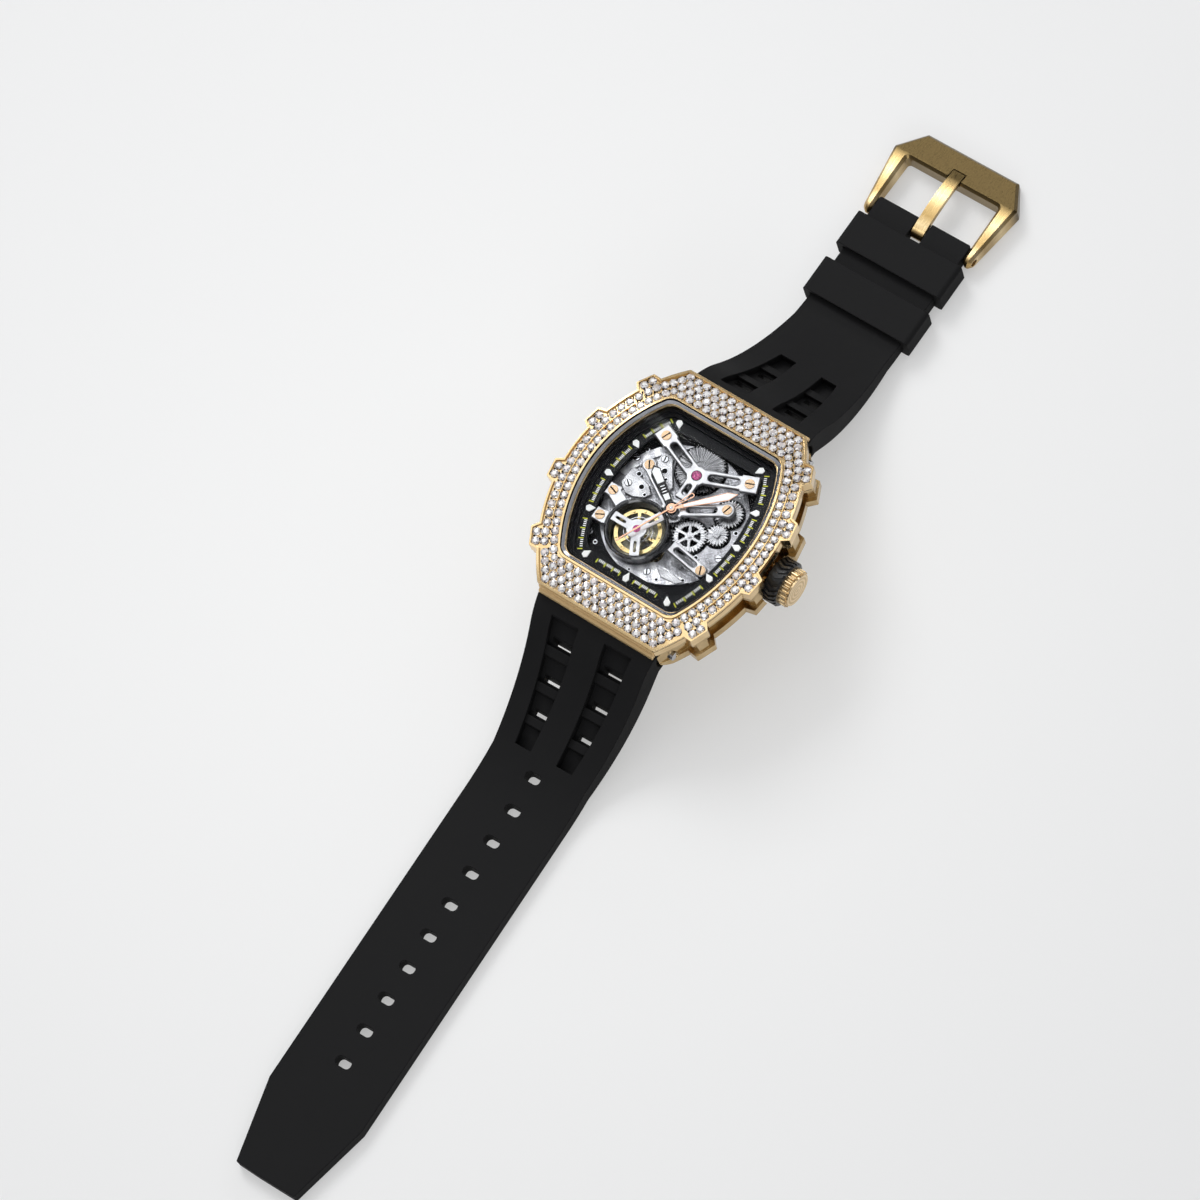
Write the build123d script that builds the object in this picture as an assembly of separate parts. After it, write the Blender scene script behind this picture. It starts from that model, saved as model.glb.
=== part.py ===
from build123d import *
import math
import os

# A tonneau wristwatch lying open on its strap.
# Origin: centre of the flat case back. +X is the crown side, +Y the buckle side, +Z the dial.

# Driving sizes, millimetres and degrees
case_length = 49.5
case_width = 44.2
case_end_width = 26.2
case_thickness = 14.8
arch_rise = 3.0
case_lift = 11.9
outline_corner = 0.5
cut_overrun = 2.0
running_gap = 0.05
seat_gap = 0.01
side_gap = 0.3

# Layers of the case, measured down from the top at the middle
bezel_depth = 2.4
bezel_gasket_depth = 0.35
band_depth = 0.8
waist_depth = 3.7
flange_depth = 2.1
band_inset = 0.25
waist_inset = 1.9
flange_inset = 0.3
belly_inset = 1.0
back_inset = 3.4
back_foot_inset = 4.2
back_bezel_depth = 2.4
rim_thickness = 0.5
rim_groove_height = 0.25
rim_groove_depth = 0.35

# Notch blocks along the sides, as shares of half the case length
notch_shares = (0.727, 0.28, -0.21, -0.707)
notch_length = 4.9
notch_proud = 1.45
notch_taper = 0.65
pillar_length = 3.4
pillar_proud = 1.2
flange_notch_length = 5.4
flange_notch_proud = 1.8
notch_corner = 0.25

# Dial opening, crystal and flange ring
opening_length = 36.2
opening_width = 35.6
opening_end_width = 24.8
opening_corner = 2.6
ledge_width = 0.9
crystal_thickness = 0.9
crystal_drop = 0.3
crystal_gasket_width = 0.75
cavity_inset = 0.2
track_inset = 4.3
track_depth = 0.6
track_level = 11.3
rehaut_inset = 2.1
rehaut_top_inset = 1.3
rehaut_step = 0.45

# Stones of the bezel
stone_diameter = 1.58
stone_table_share = 0.56
stone_height = 0.5
stone_gap = 0.04
stone_search_step = 0.12
stone_pitch = 1.7
end_stone_pitch = 1.88
end_row_step = 1.35
outer_row_inset = 1.33
tray_depth = 0.5
tray_rim = 0.3
tray_end_rim = 0.5
tray_inner_rim = 0.42
notch_rim = 0.3

# Hour markers
marker_length = 1.8
marker_width = 1.3
marker_height = 0.28
marker_neck_share = 0.3
marker_foot_share = 0.55
marker_side_x = 13.35
marker_side_y = 7.4
marker_mid_x = 14.3
marker_corner_x = 9.1
marker_corner_y = 14.95

# Movement
plate_radius = 15.3
plate_lip_radius = 16.0
plate_lip_depth = 0.4
wheel_pocket_margin = 0.35
wheel_pocket_depth = 0.6
pad_radius = 13.9
pad_width = 1.7
pad_height = 0.35
pad_ring_gap = 0.3
pad_line_y = -9.6
pad_first_angle = 128.0
pad_last_angle = 172.0
plate_top = 9.0
plate_bottom = 6.2
lower_cavity_radius = 16.2
holder_gap = 0.1
bridge_top = 11.6
bridge_bottom = 10.7
bridge_bevel = 0.12
bevel_least_edge = 0.8
post_radius = 0.9
screw_head_radius = 0.95
screw_head_depth = 0.45
screw_head_rise = 0.12
screw_slot_width = 0.26
screw_slot_depth = 0.2
screw_first_turn = 20.0
screw_next_turn = 47.0
back_screw_next_turn = 35.0
screw_shank_radius = 0.4
jewel_radius = 0.9
jewel_depth = 0.5

# Y-shaped bridge
y_hub_y = 7.9
y_hub_radius = 1.9
y_screw_x = 9.45
y_screw_y = 11.6
y_arm_width = 2.7
y_end_size = 3.3
y_tail_width = 2.4
y_tail_end_y = 2.6
y_slot_width = 1.5
y_tail_slot_width = 1.1
y_slot_shares = (0.29, 0.74)
y_tail_slot_shares = (0.48, 0.72)

# V-shaped bridge under the hands
v_arm_width = 2.3
v_slot_width = 1.2
v_slot_shares = (0.32, 0.76)
v_hub_radius = 2.1
v_hub_bore = 1.45
v_hub_cut = 0.5
v_end_radius = 1.35

# Bar beside the balance and the two clamps of its ring
bar_screw_x = 11.4
bar_screw_y = -7.15
bar_inner_x = 3.9
bar_inner_y = -5.9
bar_width = 2.3
bar_slot_width = 1.15
bar_slot_shares = (0.2, 0.76)
clamp_width = 2.5
clamp_upper_x = -11.7
clamp_upper_y = -2.4
clamp_lower_x = -11.0
clamp_lower_y = -7.7

# Balance group
balance_x = -3.5
balance_y = -6.5
ring_outer_radius = 6.1
ring_inner_radius = 5.35
ring_bevel = 0.3
ring_top = 11.75
ring_wheel_room = 2.75
pocket_radius = 5.55
pocket_floor = 7.0
cage_arm_width = 1.8
cage_slot_width = 0.55
cage_slot_shares = (0.5, 0.82)
cage_hub_radius = 1.9
cage_hub_bore = 0.75
cage_thickness = 0.35
cage_arm_first = 60.0
cage_arm_count = 3
balance_radius = 4.5
balance_rim_width = 0.75
balance_thickness = 0.4
balance_level = 9.7
balance_spoke_width = 0.6
balance_screw_count = 12
balance_screw_radius = 0.2
balance_hub_radius = 1.05
roller_radius = 0.85
staff_radius = 0.3
spring_first_radius = 0.9
spring_pitch = 0.62
spring_wire = 0.14
spring_half_turns = 7
spring_level = 10.35
pallet_level = 8.6
pallet_thickness = 0.25
pallet_offset = 2.6
pallet_angle = -20.0
escape_level = 8.0
escape_radius = 1.55
escape_offset = 4.7
escape_pocket_radius = 2.05
escape_teeth = 15
escape_thickness = 0.25
escape_rim_share = 0.7
escape_hub_share = 0.35
pallet_span_share = 1.6

# Toothed wheels: one module for the visible train
gear_module = 0.2
gear_addendum_share = 0.8
gear_dedendum_share = 1.15
gear_root_share = 0.6
gear_tip_share = 0.2
gear_level = 9.25
gear_thickness = 0.4
arbor_radius = 0.35
seconds_teeth = 24
third_teeth = 31
setting_teeth = 20
crown_wheel_teeth = 26
third_angle = -23.3
setting_angle = 33.5
crown_wheel_angle = 96.2
third_rim_width = 0.75
third_hub_radius = 0.84
third_spokes = 6
wheel_spoke_width = 0.5
seconds_rim_width = 0.38
seconds_hub_radius = 1.05
seconds_spokes = 4
setting_square = 1.12
crown_wheel_rim_width = 0.9
crown_wheel_hub = 1.45
crown_wheel_spokes = 3
barrel_x = -0.8
barrel_y = 9.8
barrel_teeth = 46
barrel_drum_radius = 4.2
barrel_floor = 6.8
barrel_step_radius = 3.1
barrel_step_inner = 1.55
barrel_step_height = 0.2
barrel_arbor_radius = 0.7
motion_module = 0.12
motion_wheel_thickness = 0.2
cannon_teeth = 20
hour_teeth = 36

# Hands
hour_hand_length = 9.6
hour_hand_width = 1.9
hour_hand_waist_share = 0.885
hour_hand_root_share = 0.75
minute_hand_length = 12.5
minute_hand_width = 1.6
minute_hand_waist_share = 0.85
minute_hand_root_share = 0.32
second_hand_length = 11.8
second_hand_width = 0.28
second_loop_start = 0.9
second_loop_reach = 4.4
second_loop_radius = 0.5
second_loop_line = 0.2
hand_thickness = 0.15
hour_hand_level = 11.88
minute_hand_level = 12.16
second_hand_level = 12.44
hour_hand_angle = 145.6
minute_hand_angle = 43.5
second_hand_angle = -115.7
second_arbor_radius = 0.32
cannon_radius = 0.62
hour_tube_radius = 0.95
hand_boss_margin = 0.35

# Back of the movement
rotor_radius = 14.6
rotor_level = 3.3
rotor_thickness = 0.5
rotor_rim_depth = 1.0
rotor_rim_width = 2.2
rotor_hub_radius = 2.4
rotor_hub_rim = 1.4
rotor_arm_width = 5.0
rotor_bore = 1.1
rotor_screw_radius = 1.0
rotor_nut_radius = 1.7
auto_bridge_bottom = 4.5
auto_bridge_radius = 14.2

# Case back
back_window_radius = 14.4
back_crystal_thickness = 1.2
back_crystal_gasket_width = 0.35
back_gasket_radius = 16.8
back_gasket_width = 0.5
back_screw_circle = 17.35
back_screw_count = 8
back_screw_head_radius = 0.8
back_screw_head_depth = 0.6
back_screw_shank_radius = 0.45
back_screw_end = 5.0

# Crown
crown_level = 7.2
crown_gap = 0.2
crown_ring_length = 3.2
crown_ring_radius = 4.5
crown_cap_length = 1.9
crown_cap_radius = 3.75
crown_face_length = 0.45
crown_face_radius = 3.2
crown_flute_count = 22
crown_flute_radius = 0.4
crown_groove_count = 24
crown_groove_width = 0.5
crown_groove_depth = 0.35
crown_groove_slant = 28.0
crown_groove_leg = 2.0
crown_neck_radius = 2.3
crown_tube_radius = 1.5
crown_tube_bore = 0.9
crown_tube_inner_gap = 1.9
crown_tube_outer_gap = 0.2
crown_bore_depth = 2.2
stem_radius = 0.6
stem_end = 11.4
winding_pinion_radius = 0.9
winding_pinion_start = 13.4
winding_pinion_length = 1.4
winding_pinion_teeth = 12
lever_start = 11.6
lever_thickness = 0.4
lever_width = 2.0
lever_height = 1.7
pull_travel = 1.2

# Strap
bar_inset = 2.75
bar_z = 5.8
bar_radius = 0.9
bar_overhang = 1.8
barrel_radius = 2.7
lug_radius = 2.9
lug_width = 1.9
pocket_inset = 5.65
strap_start_width = 26.2
strap_width = 20.8
strap_thickness = 2.7
strap_shoulder_run = 3.3
strap_steep = 50.0
strap_shoulder_slope = 25.6
strap_shoulder_bend = 14.7
strap_under_slope = 45.0
strap_taper_run = 28.0
upper_strap_raise = 1.1
upper_strap_run = 56.9
lower_lay_angle = 1.78
lower_taper_run = 102.5
lower_tip_run = 118.9
lower_tip_width = 13.0
strap_end_corner = 0.4
hole_first_run = 30.3
hole_pitch = 7.0
hole_count = 10
hole_length = 3.2
hole_width = 1.9
hole_corner = 0.85
channel_inner = 2.9
channel_outer_start = 8.9
channel_outer_end = 6.4
channel_start_run = 5.2
lower_channel_run = 26.4
upper_channel_run = 18.6
channel_depth = 2.3
channel_rung_depth = 0.9
rung_width = 1.5
slit_width = 1.0
slit_margin = 0.75
lower_cells = 4
upper_cells = 3

# Keepers
keeper_length = 7.6
keeper_wall = 0.8
keeper_side_wall = 1.5
keeper_height = 5.5
keeper_corner = 0.9
fixed_keeper_run = 48.0
free_keeper_run = 36.9

# Buckle
buckle_bar_run = 54.7
buckle_bar_radius = 0.75
buckle_bar_reach = 11.6
buckle_nose_run = 1.6
buckle_arm_end_width = 24.4
buckle_shoulder_run = 12.6
buckle_width = 28.0
buckle_tip_run = 18.3
buckle_tip_width = 20.8
buckle_window_width = 21.2
buckle_window_run = 11.6
buckle_ridge_run = 12.3
buckle_window_corner = 0.7
buckle_height = 4.4
buckle_arm_height = 3.3
buckle_front_height = 2.4
buckle_bevel = 0.55
tongue_width = 2.6
tongue_thickness = 1.1
tongue_tip_thickness = 0.8
tongue_tip_run = 13.8
tongue_crown = 0.9
tongue_boss_radius = 1.45
tongue_slot_width = 3.1
tongue_notch_width = 3.0

# Worked-out places and levels
half_length = case_length / 2
crown_ring_start = case_width / 2 + crown_gap
crown_tube_start = plate_lip_radius + crown_tube_inner_gap
crown_tube_reach = case_width / 2 - crown_tube_outer_gap
bar_y = half_length - bar_inset
pocket_start = half_length - pocket_inset
lug_inner = case_end_width / 2 - lug_width
strap_barrel_half = lug_inner - side_gap
bar_reach = case_end_width / 2 + bar_overhang
strap_shoulder_y = bar_y + strap_shoulder_run
strap_taper_end = bar_y + strap_taper_run
upper_strap_end = bar_y + upper_strap_run
lower_taper_start = bar_y + lower_taper_run
lower_tip = bar_y + lower_tip_run
hole_first = bar_y + hole_first_run
channel_start = bar_y + channel_start_run
lower_channel_end = bar_y + lower_channel_run
upper_channel_end = bar_y + upper_channel_run
fixed_keeper_y = bar_y + fixed_keeper_run
free_keeper_y = bar_y + free_keeper_run
buckle_bar_y = bar_y + buckle_bar_run
buckle_arm_end_y = buckle_bar_y - buckle_nose_run
buckle_shoulder_y = buckle_bar_y + buckle_shoulder_run
buckle_tip_y = buckle_bar_y + buckle_tip_run
buckle_window_y = buckle_bar_y + buckle_window_run
tongue_tip_y = buckle_bar_y + tongue_tip_run
table_level = -case_lift
arch_radius = (half_length ** 2 + arch_rise ** 2) / (2 * arch_rise)
bezel_bottom = case_thickness - bezel_depth
band_top = bezel_bottom - bezel_gasket_depth
waist_top = band_top - band_depth
flange_top = waist_top - waist_depth
flange_bottom = flange_top - flange_depth
crystal_top = case_thickness - crystal_drop
crystal_bottom = crystal_top - crystal_thickness


def side_radius_of(width, length, end_width):
    bulge = (width - end_width) / 2
    return (length ** 2 / 4 + bulge ** 2) / (2 * bulge)


side_radius = side_radius_of(case_width, case_length, case_end_width)
side_centre = case_width / 2 - side_radius


def tonneau(width, length, end_width, corner, inset=0):
    """Flat barrel outline, moved inwards by inset."""
    radius = side_radius_of(width, length, end_width)
    lean = math.asin(length / 2 / radius)
    half_w = width / 2 - inset
    half_l = length / 2 - inset
    half_e = end_width / 2 - inset * math.tan(math.pi / 4 - lean / 2)
    right = ThreePointArc((half_e, -half_l), (half_w, 0), (half_e, half_l))
    left = ThreePointArc((-half_e, half_l), (-half_w, 0), (-half_e, -half_l))
    top = Line((half_e, half_l), (-half_e, half_l))
    bottom = Line((-half_e, -half_l), (half_e, -half_l))
    face = make_face([right, top, left, bottom])
    return fillet(face.vertices(), corner)


def case_outline(inset):
    return tonneau(case_width, case_length, case_end_width, outline_corner, inset)


def opening_outline(inset):
    return tonneau(opening_width, opening_length, opening_end_width, opening_corner, inset)


def notch_block(length, proud):
    """Block with sloping sides, its base across the outline at zero."""
    base = length / 2
    tip = base - notch_taper
    points = [(-proud, base), (0, base), (proud, tip), (proud, -tip), (0, -base), (-proud, -base)]
    block = make_face(Polyline(*points, close=True))
    return fillet(block.vertices(), notch_corner)


def notches(inset, length, proud):
    """Blocks that stand out of both sides of the outline."""
    blocks = Sketch()
    for share in notch_shares:
        angle = math.degrees(math.asin(share * half_length / side_radius))
        place = Pos(side_centre, 0) * Rot(0, 0, angle) * Pos(side_radius - inset, 0)
        block = place * notch_block(length, proud)
        blocks += block
        blocks += mirror(block, about=Plane.YZ)
    return blocks


def arch_line(level):
    reach = half_length + cut_overrun
    sag = arch_radius - math.sqrt(arch_radius ** 2 - reach ** 2)
    return ThreePointArc((-reach, level - sag), (0, level), (reach, level - sag))


def arch_layer(top, bottom):
    """Slab between two levels, arched along the case."""
    upper = arch_line(top)
    lower = arch_line(bottom)
    ends = [Line(upper @ 1, lower @ 1), Line(lower @ 0, upper @ 0)]
    face = make_face([upper, lower] + ends)
    return extrude(Plane.YZ * face, amount=case_width, both=True)


def arch_drop(y):
    return arch_radius - math.sqrt(arch_radius ** 2 - y ** 2)


def prism(sketch, bottom, top):
    return extrude(Pos(0, 0, bottom) * sketch, amount=top - bottom)


def disc(radius, bottom, top, x=0, y=0):
    return Pos(x, y, (bottom + top) / 2) * Cylinder(radius, top - bottom)


def ring(outer, inner, bottom, top, x=0, y=0):
    tool = disc(inner, bottom - cut_overrun, top + cut_overrun, x, y)
    return disc(outer, bottom, top, x, y) - tool


def bar_along_x(radius, start, end, y, z):
    return Pos((start + end) / 2, y, z) * Rot(0, 90, 0) * Cylinder(radius, end - start)


def arched(sketch, top, bottom):
    """The outline cut out of an arched layer."""
    return prism(sketch, table_level, case_thickness + cut_overrun) & arch_layer(top, bottom)


def make_bezel():
    outline = case_outline(0) + notches(0, notch_length, notch_proud)
    body = arched(outline - opening_outline(ledge_width), case_thickness, bezel_bottom)
    ledge_top = crystal_bottom - seat_gap
    body -= arched(opening_outline(0), case_thickness + cut_overrun, ledge_top)
    groove = outline - case_outline(rim_groove_depth) - notches(0, notch_length, notch_proud)
    groove_top = case_thickness - rim_thickness
    body -= arched(groove, groove_top, groove_top - rim_groove_height)
    floor = case_thickness - tray_depth
    inner = prism(opening_outline(-tray_inner_rim), table_level, case_thickness + 2 * cut_overrun)
    for edge in tray_edges():
        tray = arched(edge, case_thickness + cut_overrun, floor)
        body -= tray - inner
    return body


def tray_edges():
    """Outer edges of the sunk floor that the stones stand on: the band and the blocks."""
    width = case_width - 2 * tray_rim
    length = case_length - 2 * tray_end_rim
    end_width = case_end_width - 2 * tray_rim
    blocks = notches(notch_rim, notch_length - 2 * notch_rim, notch_proud)
    band = tonneau(width, length, end_width, outline_corner)
    return [band, blocks]


def stone_at(x, y):
    radius = stone_diameter / 2
    base = case_thickness - tray_depth - arch_drop(y)
    tilt = math.degrees(math.asin(y / arch_radius))
    body = Cone(radius, radius * stone_table_share, stone_height)
    return Pos(x, y, base) * Rot(-tilt, 0, 0) * Pos(0, 0, stone_height / 2 + seat_gap) * body


def notch_angles():
    """Angle of each notch about the centre of the side's arc."""
    return sorted(math.asin(share * half_length / side_radius) for share in notch_shares)


def outer_row_places():
    """Row along the rim, with two stones set squarely under each notch."""
    radius = side_radius - outer_row_inset
    half = stone_pitch / 2 / radius
    centres = notch_angles()
    angles = []
    for centre in centres:
        angles += [centre - half, centre + half]
    for first, second in zip(centres[:-1], centres[1:]):
        start = first + half
        reach = second - half - start
        count = int(reach * radius / (stone_diameter + stone_gap))
        angles += [start + reach * index / count for index in range(1, count)]
    return [(side_centre + radius * math.cos(angle), radius * math.sin(angle)) for angle in angles]


def notch_stone_places():
    radius = side_radius + notch_proud - notch_rim - stone_diameter / 2 - stone_gap
    half = stone_pitch / 2 / radius
    angles = []
    for centre in notch_angles():
        angles += [centre - half, centre + half]
    return [(side_centre + radius * math.cos(angle), radius * math.sin(angle)) for angle in angles]


def inner_row_places():
    """Row that follows the curve of the dial opening."""
    opening_radius = side_radius_of(opening_width, opening_length, opening_end_width)
    centre = opening_width / 2 - opening_radius
    radius = opening_radius + tray_inner_rim + stone_diameter / 2 + stone_gap
    lean = math.asin(opening_length / 2 / radius)
    count = int(2 * lean * radius / stone_pitch)
    places = []
    for index in range(count + 1):
        angle = lean * (2 * index / count - 1)
        places.append((centre + radius * math.cos(angle), radius * math.sin(angle)))
    return places


def end_row_places(first_row, last_row):
    """Staggered rows across one end of the case."""
    places = []
    top = half_length - tray_end_rim - stone_diameter / 2 - stone_gap
    for row in range(first_row, last_row):
        y = top - row * end_row_step
        arc_x = side_centre + math.sqrt(side_radius ** 2 - y ** 2)
        count = int(2 * arc_x / end_stone_pitch)
        count -= (count + row) % 2
        for index in range(count):
            places.append(((index - (count - 1) / 2) * end_stone_pitch, y))
    return places


def inside_tray(x, y):
    """True where a whole stone fits between the rims."""
    margin = stone_diameter / 2 + stone_gap / 2
    width = case_width - 2 * tray_rim
    length = case_length - 2 * tray_end_rim
    radius = side_radius_of(width, length, case_end_width - 2 * tray_rim)
    on_side = math.hypot(abs(x) - width / 2 + radius, y) + margin < radius
    on_end = abs(y) + margin < length / 2
    opening_radius = side_radius_of(opening_width, opening_length, opening_end_width)
    opening_centre = opening_width / 2 - opening_radius
    keep = margin + tray_inner_rim
    past_side = math.hypot(abs(x) - opening_centre, y) > opening_radius + keep
    past_end = abs(y) > opening_length / 2 + keep
    return on_side and on_end and (past_side or past_end)


def spare_places():
    """Close grid over a quarter of the bezel, for stones in the gaps that the rows leave."""
    places = []
    for column in range(int(case_width / 2 / stone_search_step)):
        for row in range(int(half_length / stone_search_step)):
            places.append((column * stone_search_step, row * stone_search_step))
    return [(x, y) for x, y in places if inside_tray(x, y)]


def keep_apart(places):
    """Drops each stone that would touch one already set."""
    kept = []
    reach = stone_diameter + stone_gap
    for x, y in places:
        if all(math.hypot(x - other_x, y - other_y) >= reach for other_x, other_y in kept):
            kept.append((x, y))
    return kept


def bezel_stone_places():
    """Notch stones, full end rows, side rows, then stones where they still fit."""
    right = [(x, y) for x, y in outer_row_places() if inside_tray(x, y)]
    inner = [(x, y) for x, y in inner_row_places() if inside_tray(x, y)]
    rows = int((half_length - opening_length / 2) / end_row_step)
    first = [(x, y) for x, y in end_row_places(0, rows - 1) if inside_tray(x, y)]
    fill = [(x, y) for x, y in end_row_places(rows - 1, 2 * rows) if inside_tray(x, y)]
    places = []
    for x, y in notch_stone_places():
        places += [(x, y), (-x, y)]
    for x, y in first:
        places += [(x, y), (x, -y)]
    for x, y in right + inner:
        places += [(x, y), (-x, y)]
    for x, y in fill:
        places += [(x, y), (x, -y)]
    for x, y in spare_places():
        places += [(x, y), (-x, y), (x, -y), (-x, -y)]
    return keep_apart(places)


def make_bezel_stones():
    stones = [stone_at(x, y) for x, y in bezel_stone_places()]
    return Compound(children=stones)


def make_bezel_gasket():
    outline = case_outline(band_inset) + notches(band_inset, notch_length, notch_proud)
    inner = opening_outline(cavity_inset)
    return arched(outline - inner, bezel_bottom - seat_gap, band_top + seat_gap)


def make_crystal():
    return arched(opening_outline(crystal_gasket_width), crystal_top, crystal_bottom)


def make_crystal_gasket():
    sketch = opening_outline(seat_gap) - opening_outline(crystal_gasket_width - seat_gap)
    return arched(sketch, crystal_top - crystal_drop, crystal_bottom)


def make_mid_case():
    band_sketch = case_outline(band_inset) + notches(band_inset, notch_length, notch_proud)
    body = arched(band_sketch, band_top, waist_top)
    waist_width = case_width - 2 * waist_inset
    waist_end_width = case_end_width - 2 * band_inset
    waist = tonneau(waist_width, case_length - 2 * band_inset, waist_end_width, outline_corner)
    waist += notches(0, pillar_length, pillar_proud)
    body += arched(waist, waist_top + seat_gap, flange_top - seat_gap)
    flange = case_outline(flange_inset)
    flange += notches(flange_inset, flange_notch_length, flange_notch_proud)
    body += arched(flange, flange_top, flange_bottom)
    low = Pos(0, 0, back_bezel_depth) * case_outline(back_inset)
    high = Pos(0, 0, flange_bottom) * case_outline(belly_inset)
    belly = loft([low.faces()[0], high.faces()[0]], ruled=True)
    body += belly & arch_layer(flange_bottom + seat_gap, table_level)
    body -= prism(opening_outline(cavity_inset), plate_bottom, case_thickness + cut_overrun)
    body -= disc(lower_cavity_radius, table_level, case_thickness)
    body -= lug_pockets()
    bore_end = crown_tube_reach + cut_overrun
    body -= bar_along_x(crown_tube_radius + seat_gap, 0, bore_end, 0, crown_level)
    counterbore = crown_tube_reach - crown_bore_depth
    body -= bar_along_x(crown_neck_radius + side_gap, counterbore, bore_end, 0, crown_level)
    crown_room = crown_ring_radius + side_gap
    body -= bar_along_x(crown_room, crown_ring_start - side_gap, case_width, 0, crown_level)
    for x, y in back_screw_places():
        body -= disc(back_screw_shank_radius + seat_gap, 0, back_screw_end + seat_gap, x, y)
    return body


def lug_pockets():
    """Room for the strap ends, rounded about the bars, and the bar holes."""
    tools = Part()
    depth = half_length - pocket_start + cut_overrun
    top = bar_z + lug_radius
    height = top - table_level
    for side in (-1, 1):
        middle = side * (pocket_start + depth / 2)
        slot = Pos(0, middle, top - height / 2) * Box(2 * lug_inner, depth, height)
        corner = Pos(0, side * (bar_y + depth / 2), top - height / 2) * Box(case_width, depth, height)
        corner -= bar_along_x(lug_radius, -case_width, case_width, side * bar_y, bar_z)
        hole = bar_along_x(bar_radius + seat_gap, -case_width, case_width, side * bar_y, bar_z)
        tools += slot + corner + hole
    return tools


def make_strap_bar(side):
    return bar_along_x(bar_radius, -bar_reach, bar_reach, side * bar_y, bar_z)


def back_screw_places():
    places = []
    for index in range(back_screw_count):
        angle = 2 * math.pi * (index + 0.5) / back_screw_count
        places.append((back_screw_circle * math.cos(angle), back_screw_circle * math.sin(angle)))
    return places


def make_back_bezel():
    low = case_outline(back_foot_inset)
    high = Pos(0, 0, back_bezel_depth) * case_outline(back_inset)
    body = loft([low.faces()[0], high.faces()[0]], ruled=True)
    body -= lug_pockets()
    body -= disc(back_window_radius, -cut_overrun, back_bezel_depth + cut_overrun)
    groove = ring(back_gasket_radius, back_gasket_radius - back_gasket_width,
                  back_bezel_depth - back_gasket_width, back_bezel_depth + cut_overrun)
    body -= groove
    for x, y in back_screw_places():
        body -= disc(back_screw_shank_radius + seat_gap, -cut_overrun, back_bezel_depth + cut_overrun, x, y)
        body -= disc(back_screw_head_radius + seat_gap, -cut_overrun, back_screw_head_depth, x, y)
    return body


def make_back_gasket():
    return ring(back_gasket_radius - seat_gap, back_gasket_radius - back_gasket_width + seat_gap,
                back_bezel_depth - back_gasket_width, back_bezel_depth)


def slotted_screw(head_radius, head_depth, shank_radius, length):
    """Screw standing on its shank, its head's top at level zero."""
    body = disc(head_radius, -head_depth, 0) + disc(shank_radius, -length, -head_depth)
    return body - Box(2 * head_radius + cut_overrun, screw_slot_width, 2 * screw_slot_depth)


def make_back_screws():
    solids = []
    for index, place in enumerate(back_screw_places()):
        screw = slotted_screw(back_screw_head_radius, back_screw_head_depth,
                              back_screw_shank_radius, back_screw_end)
        turned = Rot(0, 0, back_screw_next_turn * index) * Rot(180, 0, 0) * screw
        solids.append(Pos(place[0], place[1], 0) * turned)
    return Compound(children=solids)


def make_back_crystal():
    return disc(back_window_radius - back_crystal_gasket_width, 0, back_crystal_thickness)


def make_back_crystal_gasket():
    outer = back_window_radius - seat_gap
    inner = back_window_radius - back_crystal_gasket_width + seat_gap
    return ring(outer, inner, back_crystal_gasket_width, back_crystal_thickness)


def make_chapter_ring():
    outer = opening_outline(cavity_inset + holder_gap)
    track = arched(outer - opening_outline(track_inset), track_level, track_level - track_depth)
    wall_top = bezel_bottom - seat_gap
    wall = arched(outer - opening_outline(rehaut_top_inset), wall_top, track_level - seat_gap)
    step_top = track_level + rehaut_step
    step = arched(outer - opening_outline(rehaut_inset), step_top, track_level - seat_gap)
    return track + wall + step


def marker_outline():
    """Shield with a broad outer end and a point towards the middle."""
    half = marker_length / 2
    side = marker_width / 2
    neck = half * marker_neck_share
    foot = side * marker_foot_share
    points = [(half, foot), (neck, side), (-half, 0), (neck, -side), (half, -foot)]
    return make_face(Polyline(*points, close=True))


def marker_places():
    places = [(0, -marker_corner_y)]
    for side in (-1, 1):
        places.append((side * marker_mid_x, 0))
        for end in (-1, 1):
            places.append((side * marker_side_x, end * marker_side_y))
            places.append((side * marker_corner_x, end * marker_corner_y))
    return places


def make_hour_markers():
    solids = []
    for x, y in marker_places():
        turned = Rot(0, 0, math.degrees(math.atan2(y, x)))
        sketch = Pos(x, y) * turned * marker_outline()
        solid = arched(sketch, track_level + marker_height, track_level)
        solids.append(solid.solids()[0])
    return Compound(children=solids)


def make_movement_holder():
    sketch = opening_outline(cavity_inset + holder_gap) - Circle(plate_radius + holder_gap)
    body = prism(sketch, plate_bottom, plate_top - plate_lip_depth)
    return body - bar_along_x(stem_radius + side_gap, 0, case_width, 0, crown_level)


def gear_places():
    """Centres of the visible train, each set from the one before by its pitch radius."""
    places = {"seconds": (0, 0)}
    chain = (("third", "seconds", third_angle), ("setting", "third", setting_angle),
             ("crown_wheel", "setting", crown_wheel_angle))
    for name, parent, angle in chain:
        reach = pitch_radius(gear_teeth[name]) + pitch_radius(gear_teeth[parent])
        x = places[parent][0] + reach * math.cos(math.radians(angle))
        y = places[parent][1] + reach * math.sin(math.radians(angle))
        places[name] = (x, y)
    return places


def gear_phases():
    """Turn of each wheel, in degrees, that puts its gap against its neighbour's tooth."""
    phases = {"seconds": 0}
    chain = (("third", "seconds", third_angle), ("setting", "third", setting_angle),
             ("crown_wheel", "setting", crown_wheel_angle))
    for name, parent, angle in chain:
        parent_share = (angle - phases[parent]) * gear_teeth[parent] / 360
        own_share = 0.5 - parent_share
        phases[name] = angle + 180 - own_share * 360 / gear_teeth[name]
    return phases


gear_teeth = {"seconds": seconds_teeth, "third": third_teeth,
              "setting": setting_teeth, "crown_wheel": crown_wheel_teeth}


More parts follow.
